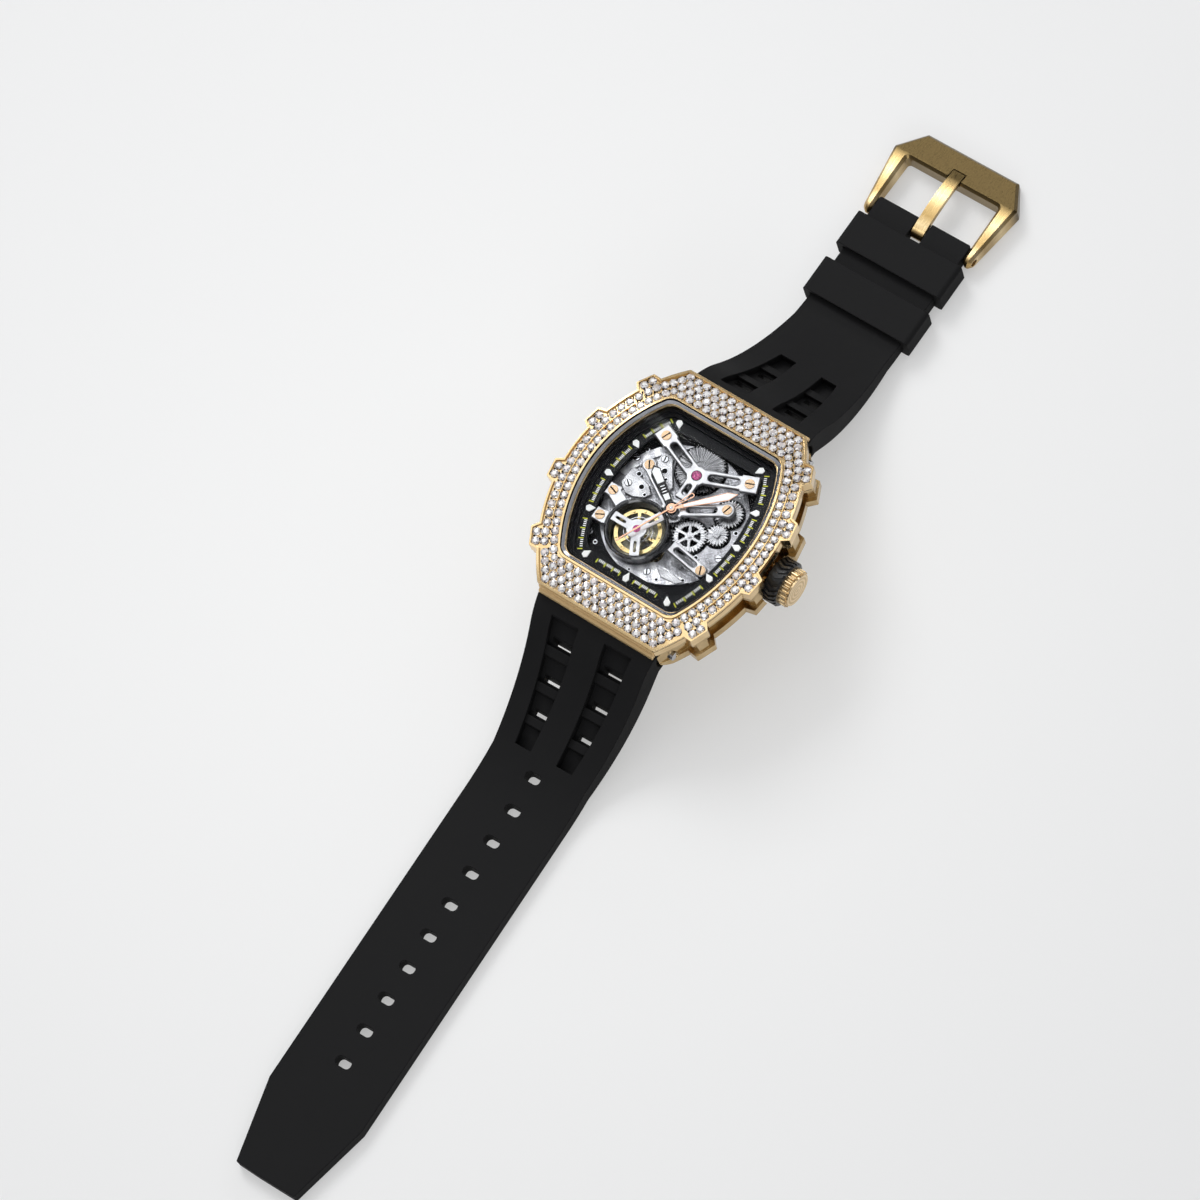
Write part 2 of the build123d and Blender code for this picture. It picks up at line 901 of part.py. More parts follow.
def pitch_radius(teeth):
    return gear_module * teeth / 2


def gear_outline(teeth, module, phase=0):
    """Toothed disc with straight-sided teeth, its first tooth at the phase angle."""
    radius = module * teeth / 2
    root = radius - gear_dedendum_share * module
    tip = radius + gear_addendum_share * module
    step = 360 / teeth
    points = []
    for index in range(teeth):
        middle = phase + index * step
        marks = ((-gear_root_share / 2, root), (-gear_tip_share / 2, tip),
                 (gear_tip_share / 2, tip), (gear_root_share / 2, root))
        for share, reach in marks:
            angle = math.radians(middle + share * step)
            points.append((reach * math.cos(angle), reach * math.sin(angle)))
    return make_face(Polyline(*points, close=True))


def at(place, shape):
    return Pos(place[0], place[1], 0) * shape


def arbor(place, bottom, top, radius=arbor_radius):
    return disc(radius, bottom, top, place[0], place[1])


def spoke_windows(outer, inner, count, width):
    """Open sectors between the spokes of a wheel."""
    sketch = Circle(outer) - Circle(inner)
    for index in range(count):
        angle = 360 * index / count
        sketch -= Rot(0, 0, angle) * Pos(outer / 2 + inner / 2, 0) * Rectangle(outer, width)
    return sketch


def make_seconds_wheel():
    root = pitch_radius(seconds_teeth) - gear_dedendum_share * gear_module
    sketch = gear_outline(seconds_teeth, gear_module, gear_phases()["seconds"])
    sketch -= spoke_windows(root - seconds_rim_width, seconds_hub_radius, seconds_spokes,
                            wheel_spoke_width)
    body = prism(sketch, gear_level, gear_level + gear_thickness)
    top = second_hand_level + hand_thickness
    return body + disc(second_arbor_radius, plate_bottom + side_gap, top)


def make_third_wheel():
    place = gear_places()["third"]
    root = pitch_radius(third_teeth) - gear_dedendum_share * gear_module
    sketch = gear_outline(third_teeth, gear_module, gear_phases()["third"])
    sketch -= spoke_windows(root - third_rim_width, third_hub_radius, third_spokes, wheel_spoke_width)
    body = at(place, prism(sketch, gear_level, gear_level + gear_thickness))
    return body + arbor(place, plate_bottom + side_gap, gear_level + 2 * gear_thickness)


def make_setting_wheel():
    place = gear_places()["setting"]
    sketch = gear_outline(setting_teeth, gear_module, gear_phases()["setting"])
    body = at(place, prism(sketch, gear_level, gear_level + gear_thickness))
    square = Rectangle(setting_square, setting_square)
    body += at(place, prism(square, gear_level, gear_level + 2 * gear_thickness))
    return body + arbor(place, plate_bottom + side_gap, gear_level)


def make_crown_wheel():
    """Ring gear that turns about the right-hand post of the V-shaped bridge."""
    place = gear_places()["crown_wheel"]
    root = pitch_radius(crown_wheel_teeth) - gear_dedendum_share * gear_module
    sketch = gear_outline(crown_wheel_teeth, gear_module, gear_phases()["crown_wheel"])
    sketch -= spoke_windows(root - crown_wheel_rim_width, crown_wheel_hub, crown_wheel_spokes,
                            wheel_spoke_width)
    sketch -= Circle(post_radius + running_gap)
    return at(place, prism(sketch, gear_level, gear_level + gear_thickness))


def make_barrel():
    place = (barrel_x, barrel_y)
    body = prism(gear_outline(barrel_teeth, gear_module), gear_level, gear_level + gear_thickness)
    body += disc(barrel_drum_radius, barrel_floor, gear_level)
    top = gear_level + gear_thickness + barrel_step_height
    body += ring(barrel_step_radius, barrel_step_inner, gear_level, top)
    body += disc(barrel_arbor_radius, plate_bottom + side_gap, gear_level + 2 * gear_thickness)
    return at(place, body)


def wheel_pockets():
    """Recesses under the visible wheels, with an island left for the bridge post."""
    tools = Part()
    floor = plate_top - wheel_pocket_depth
    roof = plate_top + cut_overrun
    margin = gear_addendum_share * gear_module + wheel_pocket_margin
    for name, place in gear_places().items():
        reach = pitch_radius(gear_teeth[name]) + margin
        if name == "crown_wheel":
            tools += ring(reach, post_radius + wheel_pocket_margin, floor, roof, place[0], place[1])
        else:
            tools += disc(reach, floor, roof, place[0], place[1])
    return tools + disc(pitch_radius(barrel_teeth) + margin, floor, roof, barrel_x, barrel_y)


def plate_pads():
    """Raised bands: a crescent below the balance and an arc at the upper left."""
    outer = Circle(pad_radius)
    low = Pos(0, pad_line_y - pad_radius) * Rectangle(4 * pad_radius, 2 * pad_radius)
    crescent = (outer & low) - Pos(balance_x, balance_y) * Circle(ring_outer_radius + pad_ring_gap)
    corners = [(0, 0)]
    for angle in (pad_first_angle, pad_last_angle):
        turn = math.radians(angle)
        corners.append((2 * pad_radius * math.cos(turn), 2 * pad_radius * math.sin(turn)))
    sector = make_face(Polyline(*corners, close=True))
    arc = (outer - Circle(pad_radius - pad_width)) & sector
    return prism(crescent + arc, plate_top - pad_height, plate_top + pad_height)


def make_mainplate():
    body = disc(plate_radius, plate_bottom, plate_top)
    body += disc(plate_lip_radius, plate_top - plate_lip_depth, plate_top) \
        & prism(opening_outline(cavity_inset + holder_gap), plate_bottom, plate_top)
    body += plate_pads()
    body -= wheel_pockets()
    body -= disc(pocket_radius, pocket_floor, plate_top + cut_overrun, balance_x, balance_y)
    drum = barrel_drum_radius + side_gap / 2
    body -= disc(drum, barrel_floor - side_gap / 2, plate_top + cut_overrun, barrel_x, barrel_y)
    holes = [(0, 0), (barrel_x, barrel_y), (balance_x, balance_y), pallet_place(), escape_place()]
    for name in ("third", "setting"):
        holes.append(gear_places()[name])
    escape_x, escape_y = escape_place()
    body -= disc(escape_pocket_radius, pocket_floor, plate_top + cut_overrun, escape_x, escape_y)
    for x, y in holes:
        radius = barrel_arbor_radius if (x, y) == (barrel_x, barrel_y) else arbor_radius
        body -= disc(radius + running_gap, plate_bottom, plate_top, x, y)
    body -= bar_along_x(stem_radius + side_gap, stem_end - side_gap, case_width, 0, crown_level)
    pinion = winding_pinion_radius + side_gap
    body -= bar_along_x(pinion, winding_pinion_start - side_gap, case_width, 0, crown_level)
    room = pull_travel + lever_thickness + 2 * side_gap
    room_height = lever_height + 2 * side_gap
    lever_room = Box(room, lever_width + 2 * side_gap, room_height)
    body -= Pos(lever_start - side_gap + room / 2, 0, crown_level) * lever_room
    for place in bridge_screw_places():
        body -= disc(screw_shank_radius + seat_gap, plate_bottom + side_gap, plate_top + cut_overrun,
                     place[0], place[1])
    return body


def along(start, end, width, extra=0):
    """Rectangle of one width between two points, run on by extra at both ends."""
    dx = end[0] - start[0]
    dy = end[1] - start[1]
    length = math.hypot(dx, dy) + 2 * extra
    middle = ((start[0] + end[0]) / 2, (start[1] + end[1]) / 2)
    return Pos(*middle) * Rot(0, 0, math.degrees(math.atan2(dy, dx))) * Rectangle(length, width)


def slot_along(start, end, width, shares):
    """Round-ended slot that covers part of the way between two points."""
    start_share, end_share = shares
    a = (start[0] + (end[0] - start[0]) * start_share, start[1] + (end[1] - start[1]) * start_share)
    b = (start[0] + (end[0] - start[0]) * end_share, start[1] + (end[1] - start[1]) * end_share)
    return along(a, b, width) + Pos(*a) * Circle(width / 2) + Pos(*b) * Circle(width / 2)


def v_screw_places():
    x, y = gear_places()["crown_wheel"]
    return [(x, y), (-x, y)]


def bridge_screw_places():
    places = [(y_screw_x, y_screw_y), (-y_screw_x, y_screw_y), (bar_screw_x, bar_screw_y),
              (clamp_upper_x, clamp_upper_y), (clamp_lower_x, clamp_lower_y)]
    return places + v_screw_places()


def bridge_solid(sketch, posts):
    """Bevelled bridge plate on its posts, with the screw holes and head seats."""
    body = prism(sketch, bridge_bottom, bridge_top)
    top_edges = body.edges().group_by(Axis.Z)[-1]
    top_edges = [edge for edge in top_edges if edge.length > bevel_least_edge]
    body = chamfer(top_edges, bridge_bevel)
    for x, y in posts:
        body += disc(post_radius, plate_top, bridge_bottom, x, y)
    for x, y in posts:
        body -= disc(screw_shank_radius + seat_gap, plate_top - cut_overrun, bridge_top, x, y)
        seat = bridge_top + screw_head_rise - screw_head_depth
        body -= disc(screw_head_radius + seat_gap, seat, bridge_top + cut_overrun, x, y)
    return body


def make_y_bridge():
    hub = (0, y_hub_y)
    sketch = Pos(*hub) * Circle(y_hub_radius)
    posts = []
    for side in (-1, 1):
        screw = (side * y_screw_x, y_screw_y)
        turn = math.degrees(math.atan2(y_screw_y - y_hub_y, side * y_screw_x))
        sketch += along(hub, screw, y_arm_width)
        sketch += Pos(*screw) * Rot(0, 0, turn) * Rectangle(y_end_size, y_end_size)
        posts.append(screw)
    tail = (0, y_tail_end_y)
    sketch += along(hub, tail, y_tail_width)
    for screw in posts:
        sketch -= slot_along(hub, screw, y_slot_width, y_slot_shares)
    sketch -= slot_along(hub, tail, y_tail_slot_width, y_tail_slot_shares)
    body = bridge_solid(sketch, posts)
    jewel_seat = bridge_top - jewel_depth
    return body - disc(jewel_radius + seat_gap, jewel_seat, bridge_top + cut_overrun, *hub)


def make_v_bridge():
    sketch = Circle(v_hub_radius)
    posts = v_screw_places()
    for screw in posts:
        sketch += along((0, 0), screw, v_arm_width) + Pos(*screw) * Circle(v_end_radius)
    for screw in posts:
        sketch -= slot_along((0, 0), screw, v_slot_width, v_slot_shares)
    sketch -= Circle(v_hub_bore)
    sketch -= Pos(0, -v_hub_cut - v_hub_radius) * Rectangle(4 * v_hub_radius, 2 * v_hub_radius)
    return bridge_solid(sketch, posts)


def make_balance_bar():
    inner = (bar_inner_x, bar_inner_y)
    screw = (bar_screw_x, bar_screw_y)
    sketch = along(inner, screw, bar_width) + Pos(*screw) * Circle(bar_width / 2)
    sketch -= slot_along(inner, screw, bar_slot_width, bar_slot_shares)
    sketch -= Pos(balance_x, balance_y) * Circle(ring_outer_radius + seat_gap)
    return bridge_solid(sketch, [screw])


def make_clamps():
    """Two small plates that hold the balance ring down."""
    solids = []
    for x, y in ((clamp_upper_x, clamp_upper_y), (clamp_lower_x, clamp_lower_y)):
        centre = (balance_x, balance_y)
        sketch = along((x, y), centre, clamp_width)
        sketch += Pos(x, y) * Rectangle(clamp_width, clamp_width)
        sketch -= Pos(*centre) * Circle(ring_outer_radius + seat_gap)
        sketch = max(sketch.faces(), key=lambda face: face.distance_to(Vertex(*centre)))
        solids.append(bridge_solid(Sketch() + sketch, [(x, y)]))
    return Compound(children=solids)


def make_bridge_screws():
    solids = []
    length = bridge_top - plate_bottom - 2 * side_gap
    for index, place in enumerate(bridge_screw_places()):
        screw = slotted_screw(screw_head_radius, screw_head_depth, screw_shank_radius, length)
        turned = Rot(0, 0, screw_first_turn + screw_next_turn * index) * screw
        solids.append(Pos(place[0], place[1], bridge_top + screw_head_rise) * turned)
    return Compound(children=solids)


def make_jewels():
    bridge_jewel = disc(jewel_radius, bridge_top - jewel_depth, bridge_top + running_gap, 0, y_hub_y)
    cage_bottom = bridge_top - cage_thickness
    cage_jewel = disc(cage_hub_bore - seat_gap, cage_bottom, bridge_top, balance_x, balance_y)
    return Compound(children=[bridge_jewel, cage_jewel])


def make_balance_ring():
    """Deep black ring on the plate, cut away where the wheels under the hands pass."""
    body = ring(ring_outer_radius, ring_inner_radius, plate_top, ring_top, balance_x, balance_y)
    body = chamfer(body.edges().group_by(Axis.Z)[-1], ring_bevel)
    return body - disc(ring_wheel_room, plate_top - cut_overrun, bridge_bottom)


def make_balance_cage():
    """Three slotted arms on a round hub, held inside the ring."""
    sketch = Circle(cage_hub_radius)
    for index in range(cage_arm_count):
        angle = cage_arm_first + 360 * index / cage_arm_count
        reach = ring_inner_radius + running_gap
        tip = (reach * math.cos(math.radians(angle)), reach * math.sin(math.radians(angle)))
        sketch += along((0, 0), tip, cage_arm_width)
    sketch = sketch & Circle(ring_inner_radius - seat_gap)
    for index in range(cage_arm_count):
        angle = cage_arm_first + 360 * index / cage_arm_count
        tip = (ring_inner_radius * math.cos(math.radians(angle)),
               ring_inner_radius * math.sin(math.radians(angle)))
        sketch -= slot_along((0, 0), tip, cage_slot_width, cage_slot_shares)
    sketch -= Circle(cage_hub_bore)
    centre = (balance_x, balance_y)
    return at(centre, prism(sketch, bridge_top - cage_thickness, bridge_top))


def make_balance_wheel():
    inner = balance_radius - balance_rim_width
    sketch = Circle(balance_radius)
    sketch -= spoke_windows(inner, balance_hub_radius, cage_arm_count, balance_spoke_width)
    body = prism(sketch, balance_level, balance_level + balance_thickness)
    for index in range(balance_screw_count):
        angle = 360 * (index + 0.5) / balance_screw_count
        reach = balance_radius - balance_rim_width / 2
        x = reach * math.cos(math.radians(angle))
        y = reach * math.sin(math.radians(angle))
        top = balance_level + balance_thickness
        body += disc(balance_screw_radius, top - seat_gap, top + balance_screw_radius, x, y)
    body -= disc(staff_radius + seat_gap, balance_level - cut_overrun, balance_level + cut_overrun)
    return at((balance_x, balance_y), body)


def make_balance_staff():
    top = bridge_top - cage_thickness - running_gap
    body = disc(staff_radius, plate_bottom + side_gap, top, balance_x, balance_y)
    collet_top = balance_level - running_gap
    roller = disc(roller_radius, pallet_level + 2 * pallet_thickness, collet_top, balance_x, balance_y)
    return body + roller


def make_hairspring():
    """Flat spiral of half turns, each half turn wider than the last by half the pitch."""
    sketch = Sketch()
    shift = spring_pitch / 4
    reach = spring_first_radius + spring_half_turns * spring_pitch
    for index in range(spring_half_turns):
        radius = spring_first_radius + index * spring_pitch / 2
        side = 1 if index % 2 == 0 else -1
        turn = Circle(radius + spring_wire / 2) - Circle(radius - spring_wire / 2)
        half = Pos(0, side * reach) * Rectangle(4 * reach, 2 * reach)
        sketch += Pos(side * shift, 0) * (turn & half)
    inner = (shift - spring_first_radius, 0)
    sketch += along((-staff_radius, 0), (inner[0], 0), spring_wire, spring_wire / 2)
    body = prism(sketch, spring_level, spring_level + 2 * spring_wire)
    body -= disc(staff_radius + seat_gap, spring_level - cut_overrun, spring_level + cut_overrun)
    gap = spring_pitch - spring_wire
    print("hairspring: least gap between turns", round(gap, 3), "mm")
    return at((balance_x, balance_y), body)


def pallet_place():
    angle = math.radians(pallet_angle)
    return (balance_x + pallet_offset * math.cos(angle), balance_y + pallet_offset * math.sin(angle))


def escape_place():
    angle = math.radians(pallet_angle)
    return (balance_x + escape_offset * math.cos(angle), balance_y + escape_offset * math.sin(angle))


def make_pallet_fork():
    x, y = pallet_place()
    lever = along((x, y), (balance_x, balance_y), arbor_radius)
    lever -= Pos(balance_x, balance_y) * Circle(staff_radius + 2 * side_gap)
    lever = max((Sketch() + lever).faces(), key=lambda face: face.area)
    turn = Rot(0, 0, pallet_angle + 90)
    cross = Pos(x, y) * turn * Rectangle(escape_radius * pallet_span_share, arbor_radius)
    sketch = Sketch() + lever + cross
    body = prism(sketch, pallet_level, pallet_level + pallet_thickness)
    return body + arbor((x, y), plate_bottom + side_gap, pallet_level + pallet_thickness, staff_radius)


def make_escape_wheel():
    place = escape_place()
    sketch = gear_outline(escape_teeth, 2 * escape_radius / escape_teeth)
    sketch -= spoke_windows(escape_radius * escape_rim_share, escape_radius * escape_hub_share,
                            seconds_spokes, arbor_radius)
    body = at(place, prism(sketch, escape_level, escape_level + escape_thickness))
    return body + arbor(place, plate_bottom + side_gap, escape_level + escape_thickness, staff_radius)


def tapered_hand(length, width, waist_share, root_share):
    """Broad pointed blade from the hub out along +X."""
    root = width * root_share / 2
    points = [(0, root), (length * waist_share, width / 2), (length, 0),
              (length * waist_share, -width / 2), (0, -root)]
    return make_face(Polyline(*points, close=True))


def hand_solid(blade, boss, bore, level, angle):
    sketch = blade + Circle(boss)
    sketch = Rot(0, 0, angle) * sketch - Circle(bore)
    return prism(sketch, level, level + hand_thickness)


def make_hour_hand():
    blade = tapered_hand(hour_hand_length, hour_hand_width, hour_hand_waist_share, hour_hand_root_share)
    boss = hour_tube_radius + hand_boss_margin
    return hand_solid(blade, boss, hour_tube_radius + seat_gap, hour_hand_level, hour_hand_angle)


def make_minute_hand():
    blade = tapered_hand(minute_hand_length, minute_hand_width, minute_hand_waist_share,
                         minute_hand_root_share)
    boss = cannon_radius + hand_boss_margin
    return hand_solid(blade, boss, cannon_radius + seat_gap, minute_hand_level, minute_hand_angle)


def widening_loop(start, radius):
    """Drop shape that widens from the hub side out to a round end."""
    points = [(-start, 0), (-second_loop_reach, radius), (-second_loop_reach, -radius)]
    return make_face(Polyline(*points, close=True)) + Pos(-second_loop_reach, 0) * Circle(radius)


def make_second_hand():
    blade = Pos(second_hand_length / 2, 0) * Rectangle(second_hand_length, second_hand_width)
    blade += widening_loop(0, second_loop_radius) - widening_loop(second_loop_start,
                                                                  second_loop_radius - second_loop_line)
    boss = second_arbor_radius + hand_boss_margin
    return hand_solid(blade, boss, second_arbor_radius + seat_gap, second_hand_level, second_hand_angle)


def make_cannon_pinion():
    bottom = gear_level + gear_thickness + side_gap
    body = disc(cannon_radius, bottom, minute_hand_level + hand_thickness)
    body += prism(gear_outline(cannon_teeth, motion_module), bottom, bottom + motion_wheel_thickness)
    return body - disc(second_arbor_radius + running_gap, bottom - cut_overrun, case_thickness)


def make_hour_wheel():
    bottom = gear_level + gear_thickness + motion_wheel_thickness + 2 * side_gap
    body = disc(hour_tube_radius, bottom, hour_hand_level + hand_thickness)
    body += prism(gear_outline(hour_teeth, motion_module), bottom, bottom + motion_wheel_thickness)
    return body - disc(cannon_radius + running_gap, bottom - cut_overrun, case_thickness)


def make_auto_bridge():
    """Plate over the back of the movement that carries the rotor."""
    body = disc(auto_bridge_radius, auto_bridge_bottom, plate_bottom)
    return body + disc(rotor_screw_radius, rotor_level - side_gap, auto_bridge_bottom)


def make_rotor():
    """Half-round winding weight with a deep rim, on an arm about the middle."""
    half = Pos(0, -rotor_radius) * Rectangle(4 * rotor_radius, 2 * rotor_radius)
    sketch = (Circle(rotor_radius) & half) + Circle(rotor_hub_radius)
    inner = rotor_radius - rotor_rim_width
    window = (Circle(inner - rotor_rim_width) - Circle(rotor_hub_radius + rotor_hub_rim)) & half
    for side in (-1, 1):
        middle = side * (inner / 2 + rotor_arm_width / 2)
        sketch -= window & Pos(middle, 0) * Rectangle(inner, 4 * inner)
    body = prism(sketch, rotor_level, rotor_level + rotor_thickness)
    rim = (Circle(rotor_radius) - Circle(inner)) & half
    body += prism(rim, rotor_level - rotor_rim_depth / 2, rotor_level + rotor_rim_depth)
    return body - disc(rotor_bore, 0, plate_bottom)


def make_rotor_nut():
    """Bearing cap that keeps the rotor on its post."""
    top = rotor_level - side_gap
    return disc(rotor_nut_radius, top - rotor_thickness, top)


def make_crown_tube():
    body = bar_along_x(crown_tube_radius, crown_tube_start, crown_tube_reach, 0, crown_level)
    return body - bar_along_x(crown_tube_bore, 0, case_width, 0, crown_level)


def make_winding_stem():
    end = crown_ring_start + crown_ring_length
    return bar_along_x(stem_radius, stem_end, end, 0, crown_level)


def make_winding_pinion():
    module = 2 * winding_pinion_radius / (winding_pinion_teeth + 1)
    sketch = gear_outline(winding_pinion_teeth, module)
    body = extrude(sketch, amount=winding_pinion_length)
    body = Pos(winding_pinion_start, 0, crown_level) * Rot(0, 90, 0) * body
    return body - bar_along_x(stem_radius + running_gap, 0, case_width, 0, crown_level)


def make_setting_lever():
    """Plate round the stem that slides with it and doesn't turn."""
    plate = Box(lever_thickness, lever_width, lever_height)
    plate = Pos(lever_start + lever_thickness / 2, 0, crown_level) * plate
    return plate - bar_along_x(stem_radius + running_gap, 0, case_width, 0, crown_level)


def make_crown_cap():
    """Fluted gold cap with the neck that carries the rubber ring."""
    start = crown_ring_start + crown_ring_length
    sketch = Circle(crown_cap_radius)
    for index in range(crown_flute_count):
        angle = 360 * index / crown_flute_count
        sketch -= Rot(0, 0, angle) * Pos(crown_cap_radius, 0) * Circle(crown_flute_radius)
    fluted_length = crown_cap_length - crown_face_length
    body = extrude(sketch, amount=fluted_length)
    body += Pos(0, 0, fluted_length + crown_face_length / 2) * Cylinder(crown_face_radius, crown_face_length)
    body = Pos(start, 0, crown_level) * Rot(0, 90, 0) * body
    neck_start = crown_tube_reach - crown_bore_depth + side_gap
    body += bar_along_x(crown_neck_radius, neck_start, start, 0, crown_level)
    tube_room = crown_tube_reach + side_gap
    body -= bar_along_x(crown_tube_radius + running_gap, 0, tube_room, 0, crown_level)
    return body - bar_along_x(stem_radius + seat_gap, 0, start, 0, crown_level)


def make_crown_ring():
    """Rubber grip with V-shaped grooves."""
    start = crown_ring_start
    end = start + crown_ring_length
    body = bar_along_x(crown_ring_radius, start, end, 0, crown_level)
    rim_edges = body.edges().filter_by(GeomType.CIRCLE)
    body = chamfer(rim_edges, crown_groove_depth)
    body -= bar_along_x(crown_neck_radius + seat_gap, 0, case_width, 0, crown_level)
    step = 360 / crown_groove_count
    middle = (start + end) / 2
    half = crown_ring_length / 2
    for index in range(crown_groove_count):
        for side in (-1, 1):
            leg = Box(crown_groove_leg, crown_groove_width, 2 * crown_groove_depth)
            leg = Rot(0, 0, side * crown_groove_slant) * leg
            leg = Pos(middle + side * half / 2, 0, crown_ring_radius) * leg
            body -= Pos(0, 0, crown_level) * Rot(index * step, 0, 0) * leg
    return body


def strap_curves(raised):
    """Top and under edges of a strap's side view, from the flat part up to the case."""
    flat_top = table_level + raised + strap_thickness
    shoulder_top = bar_z + barrel_radius
    steep = math.radians(strap_steep)
    shoulder = math.radians(strap_shoulder_slope)
    bend_height = strap_shoulder_bend * (math.cos(shoulder) - math.cos(steep))
    bend_run = strap_shoulder_bend * (math.sin(steep) - math.sin(shoulder))
    sweep = (shoulder_top - flat_top - bend_height) / (1 - math.cos(steep))
    flat_start = strap_shoulder_y + bend_run + sweep * math.sin(steep)
    rise = JernArc((flat_start, flat_top), (-1, 0), sweep, -strap_steep)
    bend = JernArc(rise @ 1, rise % 1, strap_shoulder_bend, strap_steep - strap_shoulder_slope)
    under_radius = sweep + strap_thickness / 2
    slope = math.radians(strap_under_slope)
    flat_bottom = table_level + raised
    under_bottom = bar_z - barrel_radius
    under_top = flat_bottom + under_radius * (1 - math.cos(slope))
    under_y = strap_shoulder_y + (under_bottom - under_top) / math.tan(slope)
    under_start = under_y + under_radius * math.sin(slope)
    under = JernArc((under_start, flat_bottom), (-1, 0), under_radius, -strap_under_slope)
    return rise, bend, under


def strap_side_face(raised, end):
    rise, bend, under = strap_curves(raised)
    flat_bottom = table_level + raised
    flat_top = flat_bottom + strap_thickness
    top = bar_z + barrel_radius
    bottom = bar_z - barrel_radius
    turn = ThreePointArc((bar_y, top), (bar_y - barrel_radius, bar_z), (bar_y, bottom))
    edges = [Line((end, flat_top), rise @ 0), rise, bend, Line(bend @ 1, (bar_y, top)), turn,
             Line((bar_y, bottom), (strap_shoulder_y, bottom)),
             Line((strap_shoulder_y, bottom), under @ 1), under,
             Line(under @ 0, (end, flat_bottom)), Line((end, flat_bottom), (end, flat_top))]
    return make_face(edges)


def above_strap(raised, end, depth):
    """Everything over a surface that lies depth under the strap's top."""
    rise, bend, under = strap_curves(raised)
    flat_top = table_level + raised + strap_thickness
    roof = case_thickness
    edges = [Line((end, flat_top), rise @ 0), rise, bend, Line(bend @ 1, (bar_y, bar_z + barrel_radius)),
             Line((bar_y, bar_z + barrel_radius), (bar_y, roof)), Line((bar_y, roof), (end, roof)),
             Line((end, roof), (end, flat_top))]
    face = Pos(0, -depth) * make_face(edges)
    return extrude(Plane.YZ * face, amount=case_width, both=True)


def strap_plan(end_points):
    """Plan of one side, widest at the case, ending in the given outline."""
    start = bar_y - barrel_radius - cut_overrun
    half_start = strap_start_width / 2
    half = strap_width / 2
    right = [(half_start, start), (half_start, strap_shoulder_y), (half, strap_taper_end)] + end_points
    left = [(-x, y) for x, y in reversed(right)]
    plan = make_face(Polyline(*right, *left, close=True))
    return fillet(plan.vertices().sort_by(Axis.Y)[-2:], strap_end_corner)


def channel_width(y, end):
    share = (y - channel_start) / (end - channel_start)
    return channel_outer_start + (channel_outer_end - channel_outer_start) * share


def channel_plan(start_y, end_y, end):
    """One channel's stretch, its outer edge drawn in towards the narrow end."""
    a = channel_width(start_y, end)
    b = channel_width(end_y, end)
    points = [(channel_inner, start_y), (a, start_y), (b, end_y), (channel_inner, end_y)]
    return make_face(Polyline(*points, close=True))


def strap_cuts(raised, end, channel_end, cells):
    """Recessed channels, their cells between rungs, and the through slits."""
    shallow = above_strap(raised, end, channel_rung_depth)
    deep = above_strap(raised, end, channel_depth)
    whole = channel_plan(channel_start, channel_end, channel_end)
    tools = prism(whole, table_level, case_thickness) & shallow
    cell = (channel_end - channel_start - (cells - 1) * rung_width) / cells
    for index in range(cells):
        first = channel_start + index * (cell + rung_width)
        last = first + cell
        tools += prism(channel_plan(first, last, channel_end), table_level, case_thickness) & deep
        if index == cells - 1:
            continue
        middle = last - slit_margin - slit_width / 2
        outer = channel_width(middle, channel_end) - slit_margin
        inner = channel_inner + slit_margin
        slit = Pos((inner + outer) / 2, middle) * Rectangle(outer - inner, slit_width)
        tools += prism(slit, table_level - cut_overrun, case_thickness)
    return tools + mirror(tools, about=Plane.YZ)


def strap_body(raised, end, end_points, lay_angle, cuts):
    """Strap on the +Y side, with its barrel between the lugs."""
    body = extrude(Plane.YZ * strap_side_face(raised, end), amount=case_width / 2, both=True)
    turned = Pos(0, strap_shoulder_y) * Rot(0, 0, lay_angle) * Pos(0, -strap_shoulder_y)
    plan = turned * strap_plan(end_points)
    body = body & prism(plan, table_level - cut_overrun, case_thickness)
    body -= turned * cuts
    ear = lug_radius + side_gap
    for side in (-1, 1):
        start = min(side * strap_barrel_half, side * case_width)
        finish = max(side * strap_barrel_half, side * case_width)
        body -= bar_along_x(ear, start, finish, bar_y, bar_z)
        middle = (start + finish) / 2
        body -= Pos(middle, bar_y - ear / 2, bar_z) * Box(finish - start, ear, 2 * ear)
    return body - bar_along_x(bar_radius + running_gap, -case_width, case_width, bar_y, bar_z)


def make_strap_lower():
    half = strap_width / 2
    half_tip = lower_tip_width / 2
    tip_points = [(half, lower_taper_start), (half_tip, lower_tip)]
    cuts = strap_cuts(0, lower_tip, lower_channel_end, lower_cells)
    for index in range(hole_count):
        y = hole_first + index * hole_pitch
        hole = Pos(0, y) * RectangleRounded(hole_length, hole_width, hole_corner)
        cuts += prism(hole, table_level - cut_overrun, case_thickness)
    body = strap_body(0, lower_tip, tip_points, lower_lay_angle, cuts)
    return Rot(0, 0, 180) * body


def make_strap_upper():
    half = strap_width / 2
    end_points = [(half, upper_strap_end)]
    cuts = strap_cuts(upper_strap_raise, upper_strap_end, upper_channel_end, upper_cells)
    slot_start = buckle_bar_y - 2 * tongue_boss_radius
    slot_end = upper_strap_end + cut_overrun
    slot = Pos(0, (slot_start + slot_end) / 2) * Rectangle(tongue_slot_width, slot_end - slot_start)
    cuts += prism(slot, table_level - cut_overrun, case_thickness)
    body = strap_body(upper_strap_raise, upper_strap_end, end_points, 0, cuts)
    bar_hole = buckle_bar_radius + running_gap
    return body - bar_along_x(bar_hole, -case_width, case_width, buckle_bar_y, buckle_bar_level())


def buckle_bar_level():
    return table_level + upper_strap_raise + strap_thickness / 2


